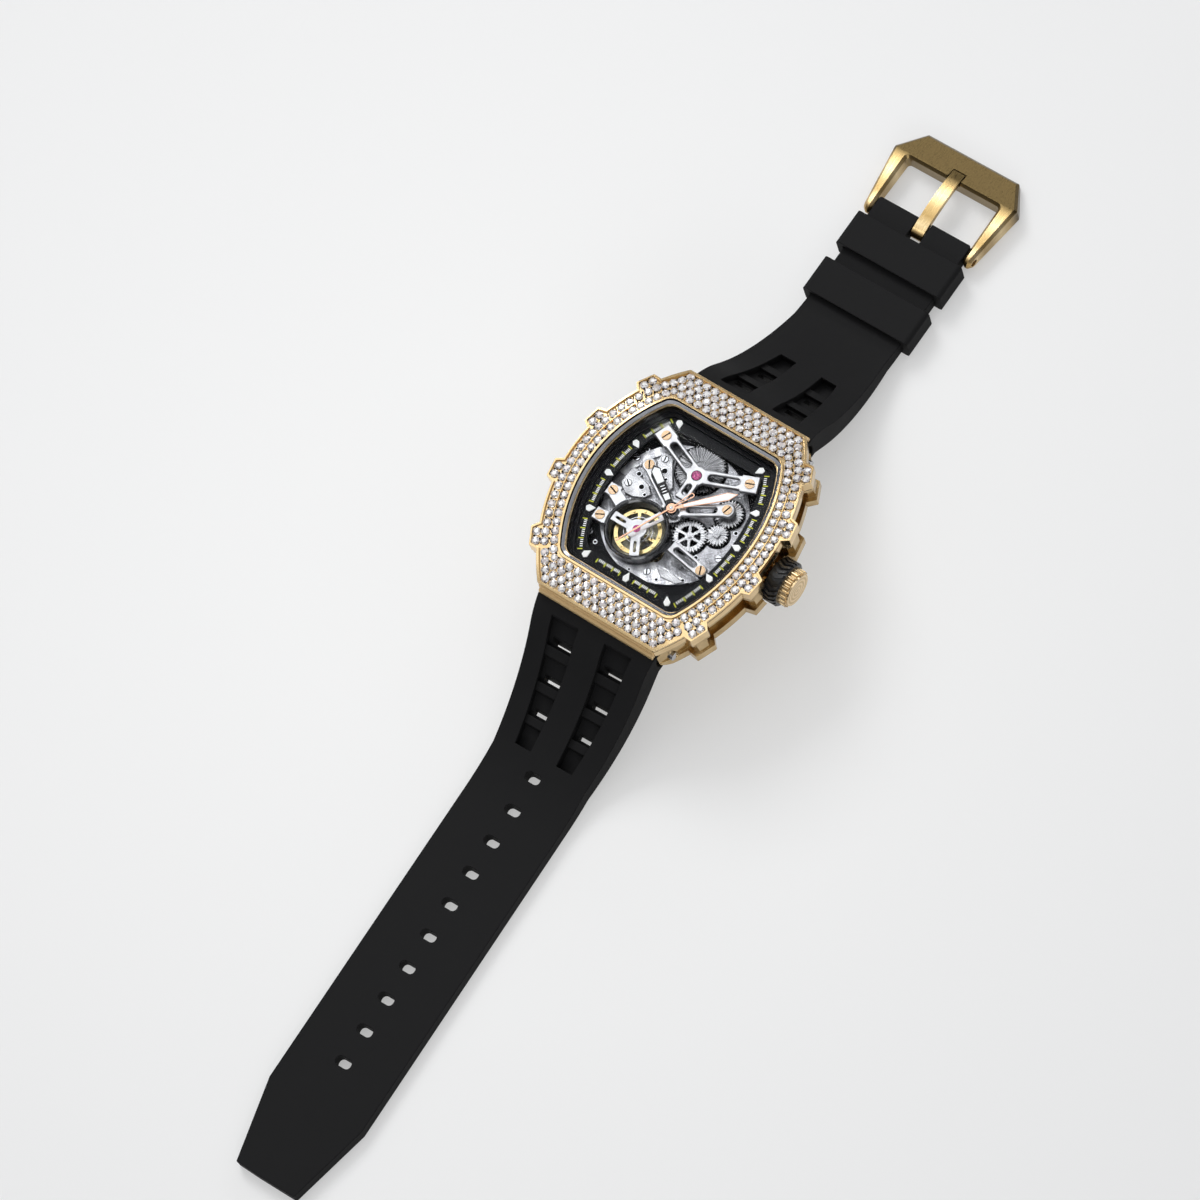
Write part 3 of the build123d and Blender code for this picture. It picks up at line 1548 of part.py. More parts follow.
def make_keeper(y, gap):
    """Rubber loop round the buckle side of the strap."""
    inner_width = strap_width + 2 * gap
    outer_width = inner_width + 2 * keeper_side_wall
    bottom = table_level
    body = Box(outer_width, keeper_length, keeper_height)
    body = fillet(body.edges().filter_by(Axis.Y), keeper_corner)
    body = Pos(0, y, bottom + keeper_height / 2) * body
    room_bottom = bottom + upper_strap_raise - gap
    room_height = keeper_height - keeper_wall - (room_bottom - bottom)
    room = Box(inner_width, keeper_length + cut_overrun, room_height)
    return body - Pos(0, y, room_bottom + room_height / 2) * room


def buckle_side_face():
    """Side view of the frame: low at the bar, highest past the window, sloping to the tip."""
    level = buckle_bar_level()
    low = level - buckle_arm_height / 2
    high = level + buckle_arm_height / 2
    top = table_level + buckle_height
    front_top = table_level + buckle_front_height
    nose = ThreePointArc((buckle_bar_y, high), (buckle_arm_end_y, level), (buckle_bar_y, low))
    ridge = buckle_bar_y + buckle_ridge_run
    corners = [(buckle_bar_y, high), (ridge, top), (buckle_tip_y, front_top),
               (buckle_tip_y, table_level), (ridge, table_level), (buckle_bar_y, low)]
    lines = [Line(first, second) for first, second in zip(corners[:-1], corners[1:])]
    return make_face([nose] + lines)


def buckle_plan():
    """Frame seen from above, its window open towards the bar."""
    right = [(buckle_arm_end_width / 2, buckle_arm_end_y), (buckle_width / 2, buckle_shoulder_y),
             (buckle_tip_width / 2, buckle_tip_y)]
    left = [(-x, y) for x, y in reversed(right)]
    plan = make_face(Polyline(*right, *left, close=True))
    length = 2 * (buckle_window_y - buckle_arm_end_y + cut_overrun)
    window = RectangleRounded(buckle_window_width, length, buckle_window_corner)
    return plan - Pos(0, buckle_window_y - length / 2) * window


def buckle_rims(body):
    """Edges round the upper faces, without the folds between them and the ends at the bar."""
    tops = [face for face in body.faces() if face.normal_at().Z > 0.5]
    rims = []
    for face in tops:
        others = [edge for other in tops if other is not face for edge in other.edges()]
        for edge in face.edges():
            fold = any(edge.is_same(other) for other in others)
            if not fold and edge.center().Y > buckle_bar_y + seat_gap:
                rims.append(edge)
    return rims


def make_buckle_frame():
    body = extrude(Plane.YZ * buckle_side_face(), amount=buckle_width, both=True)
    body = body & prism(buckle_plan(), table_level - cut_overrun, case_thickness)
    body = chamfer(buckle_rims(body), buckle_bevel)
    floor = table_level + buckle_height - tongue_thickness
    notch_length = tongue_tip_y - buckle_window_y + side_gap + cut_overrun
    notch = Box(tongue_notch_width, notch_length, 2 * tongue_thickness)
    notch_middle = buckle_window_y - cut_overrun + notch_length / 2
    body -= Pos(0, notch_middle, floor + tongue_thickness) * notch
    bar = bar_along_x(buckle_bar_radius + seat_gap, -case_width, case_width, buckle_bar_y,
                      buckle_bar_level())
    return body - bar


def make_buckle_bar():
    return bar_along_x(buckle_bar_radius, -buckle_bar_reach, buckle_bar_reach, buckle_bar_y,
                       buckle_bar_level())


def make_buckle_tongue():
    """Curved strip on a round boss, its tip resting in the notch of the frame."""
    level = buckle_bar_level()
    crest = level + tongue_boss_radius
    seat = table_level + buckle_height - tongue_thickness + seat_gap
    middle = (buckle_bar_y + tongue_tip_y) / 2
    arch = crest + tongue_crown
    upper = ThreePointArc((buckle_bar_y, crest), (middle, arch), (tongue_tip_y, seat + tongue_tip_thickness))
    lower = ThreePointArc((buckle_bar_y, crest - tongue_thickness), (middle, arch - tongue_thickness),
                          (tongue_tip_y, seat))
    ends = [Line(upper @ 1, lower @ 1), Line(lower @ 0, upper @ 0)]
    blade = extrude(Plane.YZ * make_face([upper, lower] + ends), amount=tongue_width / 2, both=True)
    boss = bar_along_x(tongue_boss_radius, -tongue_width / 2, tongue_width / 2, buckle_bar_y, level)
    return boss + blade - bar_along_x(buckle_bar_radius + running_gap, -case_width, case_width,
                                      buckle_bar_y, level)


def all_parts():
    return {
        "bezel": make_bezel,
        "bezel_stones": make_bezel_stones,
        "bezel_gasket": make_bezel_gasket,
        "front_crystal": make_crystal,
        "crystal_gasket": make_crystal_gasket,
        "mid_case": make_mid_case,
        "back_bezel": make_back_bezel,
        "back_gasket": make_back_gasket,
        "back_screws": make_back_screws,
        "back_crystal": make_back_crystal,
        "back_crystal_gasket": make_back_crystal_gasket,
        "strap_bar_upper": lambda: make_strap_bar(1),
        "strap_bar_lower": lambda: make_strap_bar(-1),
        "chapter_ring": make_chapter_ring,
        "hour_markers": make_hour_markers,
        "movement_holder": make_movement_holder,
        "mainplate": make_mainplate,
        "y_bridge": make_y_bridge,
        "v_bridge": make_v_bridge,
        "balance_bar": make_balance_bar,
        "ring_clamps": make_clamps,
        "bridge_screws": make_bridge_screws,
        "jewels": make_jewels,
        "balance_ring": make_balance_ring,
        "balance_cage": make_balance_cage,
        "balance_wheel": make_balance_wheel,
        "balance_staff": make_balance_staff,
        "hairspring": make_hairspring,
        "pallet_fork": make_pallet_fork,
        "escape_wheel": make_escape_wheel,
        "seconds_wheel": make_seconds_wheel,
        "third_wheel": make_third_wheel,
        "setting_wheel": make_setting_wheel,
        "crown_wheel": make_crown_wheel,
        "barrel": make_barrel,
        "cannon_pinion": make_cannon_pinion,
        "hour_wheel": make_hour_wheel,
        "hour_hand": make_hour_hand,
        "minute_hand": make_minute_hand,
        "second_hand": make_second_hand,
        "auto_bridge": make_auto_bridge,
        "rotor": make_rotor,
        "rotor_nut": make_rotor_nut,
        "crown_tube": make_crown_tube,
        "winding_stem": make_winding_stem,
        "winding_pinion": make_winding_pinion,
        "setting_lever": make_setting_lever,
        "crown_cap": make_crown_cap,
        "crown_ring": make_crown_ring,
        "strap_upper": make_strap_upper,
        "strap_lower": make_strap_lower,
        "fixed_keeper": lambda: make_keeper(fixed_keeper_y, seat_gap),
        "free_keeper": lambda: make_keeper(free_keeper_y, running_gap),
        "buckle_frame": make_buckle_frame,
        "buckle_bar": make_buckle_bar,
        "buckle_tongue": make_buckle_tongue,
    }


os.makedirs("parts", exist_ok=True)
for name, make in all_parts().items():
    export_step(make(), "parts/" + name + ".step")
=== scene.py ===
import bpy
import bmesh
import math
import random
from mathutils import Matrix, Vector


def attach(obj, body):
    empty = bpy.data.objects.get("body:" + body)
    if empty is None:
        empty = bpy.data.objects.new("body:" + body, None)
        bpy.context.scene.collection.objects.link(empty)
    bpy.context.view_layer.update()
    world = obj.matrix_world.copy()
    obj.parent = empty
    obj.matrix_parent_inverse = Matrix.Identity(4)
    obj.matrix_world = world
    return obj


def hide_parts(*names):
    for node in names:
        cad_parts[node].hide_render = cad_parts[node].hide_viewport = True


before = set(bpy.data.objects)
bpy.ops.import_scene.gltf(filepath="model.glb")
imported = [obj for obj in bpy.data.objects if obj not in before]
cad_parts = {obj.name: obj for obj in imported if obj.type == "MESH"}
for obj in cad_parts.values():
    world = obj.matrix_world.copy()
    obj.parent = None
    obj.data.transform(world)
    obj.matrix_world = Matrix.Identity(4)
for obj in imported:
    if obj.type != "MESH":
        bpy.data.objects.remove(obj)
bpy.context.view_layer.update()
mm = 0.001
dice = random.Random(11)
print("frame loaded,", len(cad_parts), "nodes")


# shader helpers: sums on sockets, and one way to add any other node
class Wire:
    def __init__(self, finish, socket):
        self.finish = finish
        self.socket = socket

    def math(self, operation, *others):
        links = {0: self}
        for index, value in enumerate(others):
            links[index + 1] = value
        return self.finish.add("ShaderNodeMath", {"operation": operation}, links)

    def __add__(self, other):
        return self.math("ADD", other)

    def __radd__(self, other):
        return self.math("ADD", other)

    def __sub__(self, other):
        return self.math("SUBTRACT", other)

    def __rsub__(self, other):
        return self.finish.add("ShaderNodeMath", {"operation": "SUBTRACT"}, {0: other, 1: self})

    def __mul__(self, other):
        return self.math("MULTIPLY", other)

    def __rmul__(self, other):
        return self.math("MULTIPLY", other)

    def __gt__(self, other):
        return self.math("GREATER_THAN", other)

    def clamp(self, low, high):
        return self.math("MAXIMUM", low).math("MINIMUM", high)


class Finish:
    def __init__(self, name, owners=bpy.data.materials):
        self.owner = owners.new(name)
        self.owner.use_nodes = True
        self.tree = self.owner.node_tree
        self.tree.nodes.clear()
        self.place = self.add("ShaderNodeTexCoord", output="Object")

    def add(self, kind, settings=None, links=None, output=0):
        node = self.tree.nodes.new(kind)
        for key, value in (settings or {}).items():
            if key == "stops":
                for index, stop in enumerate(value):
                    elements = node.color_ramp.elements
                    element = elements[index] if index < 2 else elements.new(stop[0])
                    element.position = stop[0]
                    element.color = stop[1] + (1.0,)
            else:
                setattr(node, key, value)
        for key, value in (links or {}).items():
            if isinstance(value, Wire):
                self.tree.links.new(value.socket, node.inputs[key])
            else:
                node.inputs[key].default_value = value
        return Wire(self, node.outputs[output])

    def stretched(self, x, y, z):
        return self.add("ShaderNodeMapping", None, {"Vector": self.place, "Scale": (x, y, z)})

    def noise(self, vector, scale, detail=2.0):
        return self.add("ShaderNodeTexNoise", None, {"Vector": vector, "Scale": scale, "Detail": detail})

    def blend(self, amount, first, second):
        return self.add("ShaderNodeMix", {"data_type": "RGBA"}, {0: amount, 6: first, 7: second}, 2)

    def rounded(self, radius):
        return self.add("ShaderNodeBevel", {"samples": 4}, {"Radius": radius})

    def bump(self, height, strength, distance, radius):
        links = {"Height": height, "Strength": strength, "Distance": distance, "Normal": self.rounded(radius)}
        return self.add("ShaderNodeBump", None, links)

    def close(self, **sockets):
        names = {"colour": "Base Color", "metallic": "Metallic", "roughness": "Roughness",
                 "normal": "Normal", "coat": "Coat Weight", "coatRoughness": "Coat Roughness",
                 "ior": "IOR", "specular": "Specular IOR Level", "glow": "Emission Color",
                 "glowStrength": "Emission Strength"}
        links = {names[key]: value for key, value in sockets.items()}
        return self.finishWith(self.add("ShaderNodeBsdfPrincipled", None, links))

    def finishWith(self, shader, kind="ShaderNodeOutputMaterial"):
        output = self.tree.nodes.new(kind)
        self.tree.links.new(shader.socket, output.inputs["Surface"])
        return self.owner


def rgb(red, green, blue):
    return (red, green, blue, 1.0)


# finishes
def makeMetal(name, pale, deep, roughness, grain, edge, brushAxis="x", brush=0.12):
    finish = Finish(name)
    scales = {"x": (60, 5200, 5200), "y": (5200, 60, 5200)}[brushAxis]
    lines = finish.noise(finish.stretched(*scales), 1.0, 3.0)
    cloud = finish.noise(finish.place, 420.0, 2.0)
    colour = finish.blend((cloud * 1.6 - 0.3).clamp(0.0, 1.0), rgb(*pale), rgb(*deep))
    rough = (roughness + (lines - 0.5) * grain).clamp(0.03, 0.9)
    normal = finish.bump(lines, brush, 0.00002, edge)
    return finish.close(colour=colour, metallic=1.0, roughness=rough, normal=normal)


def makeTurned(name, centre, pale, deep, streaks):
    # steel brushed out from the wheel's own centre, in millimetres
    finish = Finish(name)
    links = {"Vector": finish.place, "Location": (-centre[0] * mm, -centre[1] * mm, 0)}
    local = finish.add("ShaderNodeMapping", None, links)
    angle = finish.add("ShaderNodeTexGradient", {"gradient_type": "RADIAL"}, {"Vector": local}, 1)
    rays = finish.add("ShaderNodeTexNoise", {"noise_dimensions": "1D"},
                      {"W": angle * streaks, "Detail": 3.0})
    cloud = finish.noise(finish.place, 500.0, 2.0)
    share = ((rays - 0.40) * 4.2 + (cloud - 0.5) * 0.8).clamp(0.0, 1.0)
    colour = finish.blend(share, rgb(*deep), rgb(*pale))
    rough = (0.24 + (rays - 0.5) * 0.3).clamp(0.08, 0.6)
    return finish.close(colour=colour, metallic=1.0, roughness=rough,
                        normal=finish.bump(rays, 0.2, 0.00002, 0.00004))


def makeRubber(name, colour, roughness, edge):
    finish = Finish(name)
    grain = finish.noise(finish.place, 9000.0, 3.0)
    cloud = finish.noise(finish.place, 160.0, 3.0)
    low = tuple(value * 0.8 for value in colour)
    shade = finish.blend(cloud, rgb(*low), rgb(*colour))
    rough = (roughness + (cloud - 0.5) * 0.18 + (grain - 0.5) * 0.1).clamp(0.1, 1.0)
    normal = finish.bump(grain, 0.25, 0.00003, edge)
    return finish.close(colour=shade, roughness=rough, normal=normal, specular=0.05)


def makeGloss(name, colour, roughness, edge, coat=0.6, specular=0.5):
    finish = Finish(name)
    cloud = finish.noise(finish.place, 700.0, 2.0)
    high = tuple(min(1.0, value * 1.25 + 0.002) for value in colour)
    shade = finish.blend(cloud, rgb(*colour), rgb(*high))
    rough = (roughness + (cloud - 0.5) * 0.06).clamp(0.03, 1.0)
    return finish.close(colour=shade, roughness=rough, coat=coat, coatRoughness=0.06, specular=specular,
                        normal=finish.bump(cloud, 0.03, 0.00002, edge))


# zones of the movement's plate: the balance's place and reach, and the levels, in millimetres
plateZones = {"balance": (-3.5, -6.5), "pit": 5.4, "sunk": 8.98, "raised": 9.05, "border": 13.92,
              "borderLevel": 8.5}


def makePlate(name):
    # bright raised bands, a turned grey field, painted shade in the recesses under the wheels round the
    # balance's pale pit, and a black border
    finish = Finish(name)
    level = finish.add("ShaderNodeSeparateXYZ", None, {0: finish.place}, 2)
    flat = finish.stretched(1.0, 1.0, 0.0)
    reach = finish.add("ShaderNodeVectorMath", {"operation": "LENGTH"}, {0: flat}, 1)
    x, y = plateZones["balance"]
    balance = finish.add("ShaderNodeVectorMath", {"operation": "DISTANCE"},
                         {0: flat, 1: (x * mm, y * mm, 0)}, 1)
    cells = finish.add("ShaderNodeTexVoronoi", {"feature": "F1"},
                       {"Vector": finish.place, "Scale": 1150.0, "Randomness": 0.1})
    rings = (cells * 70.0).math("SINE") * 0.5 + 0.5
    cloud = finish.noise(finish.place, 380.0, 4.0)
    stripes = finish.add("ShaderNodeTexWave", {"bands_direction": "DIAGONAL"},
                         {"Vector": finish.place, "Scale": 190.0, "Distortion": 0.6}, 1)
    field = finish.blend((cloud * 2.2 - 0.6).clamp(0.0, 1.0), rgb(0.07, 0.07, 0.075), rgb(0.40, 0.40, 0.42))
    pit = finish.blend((cloud * 1.8 - 0.5).clamp(0.0, 1.0), rgb(0.10, 0.09, 0.06), rgb(0.80, 0.76, 0.60))
    # recess floors outside the balance's pit are painted near-black: painted shade
    pitAndPaintedRecessShade = finish.blend(balance > plateZones["pit"] * mm, pit, rgb(0.02, 0.02, 0.022))
    sunk = finish.blend(level > plateZones["sunk"] * mm, pitAndPaintedRecessShade, field)
    band = finish.blend((stripes * 1.4 - 0.2).clamp(0.0, 1.0), rgb(0.36, 0.36, 0.38), rgb(0.58, 0.58, 0.59))
    raised = finish.blend(level > plateZones["raised"] * mm, sunk, band)
    border = (reach > plateZones["border"] * mm) * (level > plateZones["borderLevel"] * mm)
    colour = finish.blend(border, raised, rgb(0.008, 0.008, 0.009))
    rough = (0.24 + rings * 0.14 + (cloud - 0.5) * 0.2 + border * 0.2).clamp(0.05, 0.9)
    return finish.close(colour=colour, metallic=1.0, roughness=rough,
                        normal=finish.bump(rings, 0.3, 0.00003, 0.00005))


def makeGem(name):
    # facet shades are painted reflections and shade, kept in a face attribute, so each stone differs from its
    # neighbours; a noise adds painted white glints
    finish = Finish(name)
    paintedFacet = finish.add("ShaderNodeAttribute", {"attribute_name": "facetTone"}, None, 0)
    paintedGlints = finish.noise(finish.place, 2600.0, 1.0)
    colour = finish.blend((paintedGlints * 2.2 - 0.9).clamp(0.0, 0.35), paintedFacet, rgb(0.98, 0.97, 1.0))
    return finish.close(colour=colour, metallic=0.4, roughness=0.12, ior=1.8, coat=0.4,
                        coatRoughness=0.03)


def makeCrystal(name):
    finish = Finish(name)
    clear = finish.add("ShaderNodeBsdfTransparent", None, {"Color": rgb(0.985, 0.99, 0.995)})
    gloss = finish.add("ShaderNodeBsdfGlossy", None, {"Color": rgb(1, 1, 1), "Roughness": 0.02})
    edge = finish.add("ShaderNodeFresnel", None, {"IOR": 1.3})
    return finish.finishWith(finish.add("ShaderNodeMixShader", None, {0: edge * 0.12, 1: clear, 2: gloss}))


def makeRuby(name):
    finish = Finish(name)
    cloud = finish.noise(finish.place, 2400.0, 2.0)
    colour = finish.blend((cloud * 3.0 - 1.0).clamp(0.0, 1.0), rgb(0.16, 0.0, 0.07), rgb(0.78, 0.06, 0.32))
    return finish.close(colour=colour, roughness=0.08, coat=1.0, coatRoughness=0.03)


crownLevel = 7.2 * mm


def makeCapGold(name):
    # polished gold with fine rings round the crown's own axis
    finish = Finish(name)
    links = {"Vector": finish.place, "Location": (0, 0, -crownLevel), "Scale": (0, 1, 1)}
    local = finish.add("ShaderNodeMapping", None, links)
    reach = finish.add("ShaderNodeVectorMath", {"operation": "LENGTH"}, {0: local}, 1)
    rings = (reach * 7800.0).math("SINE") * 0.5 + 0.5
    cloud = finish.noise(finish.place, 420.0, 2.0)
    colour = finish.blend(rings * 0.6 + cloud * 0.4, rgb(0.92, 0.72, 0.44), rgb(0.52, 0.35, 0.16))
    return finish.close(colour=colour, metallic=1.0, roughness=0.14 + rings * 0.12,
                        normal=finish.bump(rings, 0.5, 0.00006, 0.00009))


def makeSoftGold(name):
    # gold with a soft skin, for faces that only see the dark strap
    finish = Finish(name)
    lines = finish.noise(finish.stretched(60, 5200, 5200), 1.0, 3.0)
    colour = finish.blend(lines, rgb(0.92, 0.66, 0.34), rgb(0.74, 0.51, 0.24))
    return finish.close(colour=colour, metallic=0.5, roughness=0.34 + lines * 0.1,
                        normal=finish.bump(lines, 0.15, 0.00002, 0.00012))


# painted reflection bands of the buckle's gold: where they start and end along it, in millimetres, and their
# shares
buckleReflectionBands = {"start": 74.5, "reach": 20.0,
         "stops": [(0.0, (0.42, 0.27, 0.10)), (0.72, (0.085, 0.060, 0.025)), (0.06, (0.60, 0.40, 0.16)),
                   (0.16, (0.95, 0.74, 0.42)), (0.26, (0.50, 0.34, 0.14)), (0.36, (0.56, 0.40, 0.18)),
                   (0.50, (0.98, 0.78, 0.44)), (0.62, (0.66, 0.47, 0.21))]}


def makeSatinPaintedReflections(name):
    # satin gold with painted reflections: bright painted bands of light on the long arms and a painted dark
    # reflection on the front plate
    finish = Finish(name)
    along = finish.add("ShaderNodeSeparateXYZ", None, {0: finish.place}, 1)
    lines = finish.noise(finish.stretched(5200, 60, 5200), 1.0, 3.0)
    share = ((along - buckleReflectionBands["start"] * mm) * (1 / (buckleReflectionBands["reach"] * mm))).clamp(0.0, 1.0)
    # the ramp paints the reflections along the buckle; the brushed lines are its real grain
    bands = finish.add("ShaderNodeValToRGB", {"stops": buckleReflectionBands["stops"]}, {0: share})
    colour = finish.blend((lines * 1.4 - 0.4).clamp(0.0, 0.4), bands, rgb(0.22, 0.155, 0.065))
    rough = (0.30 + (lines - 0.5) * 0.24).clamp(0.1, 0.7)
    return finish.close(colour=colour, metallic=1.0, roughness=rough,
                        normal=finish.bump(lines, 0.35, 0.00002, 0.00012))


def makeLume(name, low, high, glow):
    finish = Finish(name)
    cloud = finish.noise(finish.place, 3000.0, 2.0)
    colour = finish.blend(cloud, rgb(*low), rgb(*high))
    # the emission is painted light: lume and track paint glow a little so they show brighter than the lamps
    # light them
    return finish.close(colour=colour, roughness=0.45 + cloud * 0.1, specular=0.3, glow=colour,
                        glowStrength=glow)


finishes = {
    "goldPolished": makeMetal("gold polished", (0.88, 0.67, 0.38), (0.70, 0.49, 0.24), 0.14, 0.08, 0.00009),
    # the case's side gold is a darker copy of the bezel's gold: painted shade on the sides
    "goldSidePaintedShade": makeMetal("case side gold, painted shade", (0.70, 0.51, 0.26), (0.40, 0.27, 0.11), 0.20, 0.12, 0.00014),
    "goldBrushed": makeMetal("gold brushed", (0.80, 0.59, 0.30), (0.64, 0.45, 0.20), 0.30, 0.24, 0.00012,
                             "y", 0.35),
    "goldSatinPaintedReflections": makeSatinPaintedReflections("gold satin with painted reflections"),
    "goldBand": makeSoftGold("gold band"),
    "capGold": makeCapGold("crown cap gold"),
    "plateSteel": makeMetal("stepped plate steel", (0.60, 0.60, 0.61), (0.22, 0.22, 0.23), 0.26, 0.2,
                            0.00005),
    "goldGrain": makeMetal("gold grains", (0.92, 0.72, 0.40), (0.72, 0.50, 0.24), 0.12, 0.06, 0.00003),
    "roseGold": makeMetal("rose gold", (0.84, 0.52, 0.36), (0.72, 0.41, 0.27), 0.16, 0.08, 0.00004),
    "steel": makeMetal("movement steel", (0.66, 0.66, 0.67), (0.42, 0.42, 0.44), 0.24, 0.16, 0.00005),
    "bridgeSteel": makeMetal("bridge steel", (0.62, 0.62, 0.63), (0.34, 0.34, 0.35), 0.34, 0.16, 0.00007),
    "barrelSteel": makeTurned("barrel steel", (-0.8, 9.8), (0.36, 0.36, 0.37), (0.015, 0.015, 0.017), 26.0),
    "thirdSteel": makeTurned("third wheel steel", (5.05, -2.18), (0.70, 0.70, 0.71), (0.30, 0.30, 0.31),
                             18.0),
    "settingSteel": makeTurned("setting wheel steel", (9.30, 0.64), (0.66, 0.66, 0.67),
                               (0.12, 0.12, 0.13), 14.0),
    "crownSteel": makeTurned("crown wheel steel", (8.81, 5.21), (0.66, 0.66, 0.67), (0.14, 0.14, 0.15),
                             20.0),
    "gearSteel": makeTurned("seconds wheel steel", (0.0, 0.0), (0.66, 0.66, 0.67), (0.30, 0.30, 0.31),
                            16.0),
    "gilt": makeMetal("gilt brass", (0.80, 0.66, 0.34), (0.66, 0.50, 0.22), 0.22, 0.12, 0.00004),
    "screwGold": makeMetal("screw gold", (0.62, 0.44, 0.28), (0.42, 0.30, 0.19), 0.24, 0.12, 0.00004),
    "plate": makePlate("movement plate"),
    "rubber": makeRubber("strap rubber", (0.0165, 0.0165, 0.0170), 0.60, 0.00032),
    "gasket": makeRubber("gasket rubber", (0.006, 0.006, 0.006), 0.4, 0.00005),
    "crownRubber": makeGloss("crown rubber", (0.010, 0.010, 0.011), 0.30, 0.00010, 0.2, 0.4),
    "dialBlack": makeGloss("dial black", (0.004, 0.0045, 0.006), 0.36, 0.00006, 0.0, 0.12),
    "handBlack": makeGloss("hand black", (0.004, 0.004, 0.004), 0.25, 0.00003, 0.0, 0.3),
    "shadow": makeGloss("shadow black", (0.0015, 0.0015, 0.0015), 0.55, 0.00003, 0.0, 0.1),
    "mirrorSteel": makeMetal("mirror steel", (0.86, 0.86, 0.88), (0.66, 0.67, 0.70), 0.09, 0.04, 0.00005),
    "ringSteel": makeMetal("crystal ring steel", (0.72, 0.73, 0.77), (0.56, 0.57, 0.61), 0.10, 0.04, 0.00005),
    "ringBlack": makeGloss("balance ring black", (0.008, 0.008, 0.010), 0.14, 0.00005, 1.0),
    "gem": makeGem("brilliant stones"),
    "crystal": makeCrystal("sapphire crystal"),
    "ruby": makeRuby("ruby"),
    "lume": makeLume("lume white", (0.88, 0.89, 0.88), (0.96, 0.97, 0.95), 0.22),
    "tickWhite": makeLume("track white", (0.86, 0.87, 0.87), (0.95, 0.95, 0.94), 0.35),
    "tickYellow": makeLume("track yellow", (0.62, 0.66, 0.02), (0.80, 0.82, 0.05), 0.2),
}

nodeFinish = {
    "bezel": "goldPolished", "bezel_gasket": "gasket", "front_crystal": "crystal", "crystal_gasket": "gasket",
    "mid_case": "goldSidePaintedShade", "back_bezel": "goldBrushed", "back_gasket": "gasket", "back_screws": "steel",
    "back_crystal": "crystal", "back_crystal_gasket": "gasket", "strap_bar_upper": "steel",
    "strap_bar_lower": "steel", "chapter_ring": "dialBlack", "hour_markers": "lume",
    "movement_holder": "dialBlack", "mainplate": "plate", "y_bridge": "bridgeSteel",
    "v_bridge": "bridgeSteel", "balance_bar": "bridgeSteel", "ring_clamps": "bridgeSteel",
    "bridge_screws": "screwGold", "jewels": "ruby", "balance_ring": "ringBlack",
    "balance_cage": "bridgeSteel", "balance_wheel": "gilt", "balance_staff": "steel", "hairspring": "steel",
    "pallet_fork": "steel", "escape_wheel": "gilt", "seconds_wheel": "gearSteel", "third_wheel": "thirdSteel",
    "setting_wheel": "settingSteel", "crown_wheel": "crownSteel", "barrel": "barrelSteel",
    "cannon_pinion": "steel", "hour_wheel": "steel",
    "hour_hand": "handBlack", "minute_hand": "roseGold", "second_hand": "roseGold",
    "auto_bridge": "plate", "rotor": "steel", "rotor_nut": "steel", "crown_tube": "steel",
    "winding_stem": "steel", "winding_pinion": "steel", "setting_lever": "steel",
    "crown_cap": "capGold", "crown_ring": "crownRubber", "strap_upper": "rubber",
    "strap_lower": "rubber", "fixed_keeper": "rubber", "free_keeper": "rubber",
    "buckle_frame": "goldSatinPaintedReflections", "buckle_bar": "steel", "buckle_tongue": "goldSatinPaintedReflections",
    "bezel_stones": "gem",
}
for nodeName, finishName in nodeFinish.items():
    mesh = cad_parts[nodeName].data
    mesh.materials.clear()
    mesh.materials.append(finishes[finishName])
print("finishes on the CAD nodes")


archRadius = 103.6  # of the case's top, lengthwise, in millimetres


# mesh helpers
def toObject(shape, name, finishName, body, replaced=(), smooth=False):
    mesh = bpy.data.meshes.new(name)
    shape.to_mesh(mesh)
    shape.free()
    mesh.materials.append(finishes[finishName])
    if smooth:
        mesh.shade_smooth()
    piece = bpy.data.objects.new(name, mesh)
    bpy.context.scene.collection.objects.link(piece)
    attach(piece, body)
    if replaced:
        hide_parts(*replaced)
    return piece


def copyInto(target, source, matrix):
    # adds a turned copy of one small shape to a larger one
    mesh = bpy.data.meshes.new("passing")
    source.to_mesh(mesh)
    mesh.transform(matrix)
    target.from_mesh(mesh)
    bpy.data.meshes.remove(mesh)


def archDrop(y):
    return archRadius - math.sqrt(archRadius ** 2 - y ** 2)


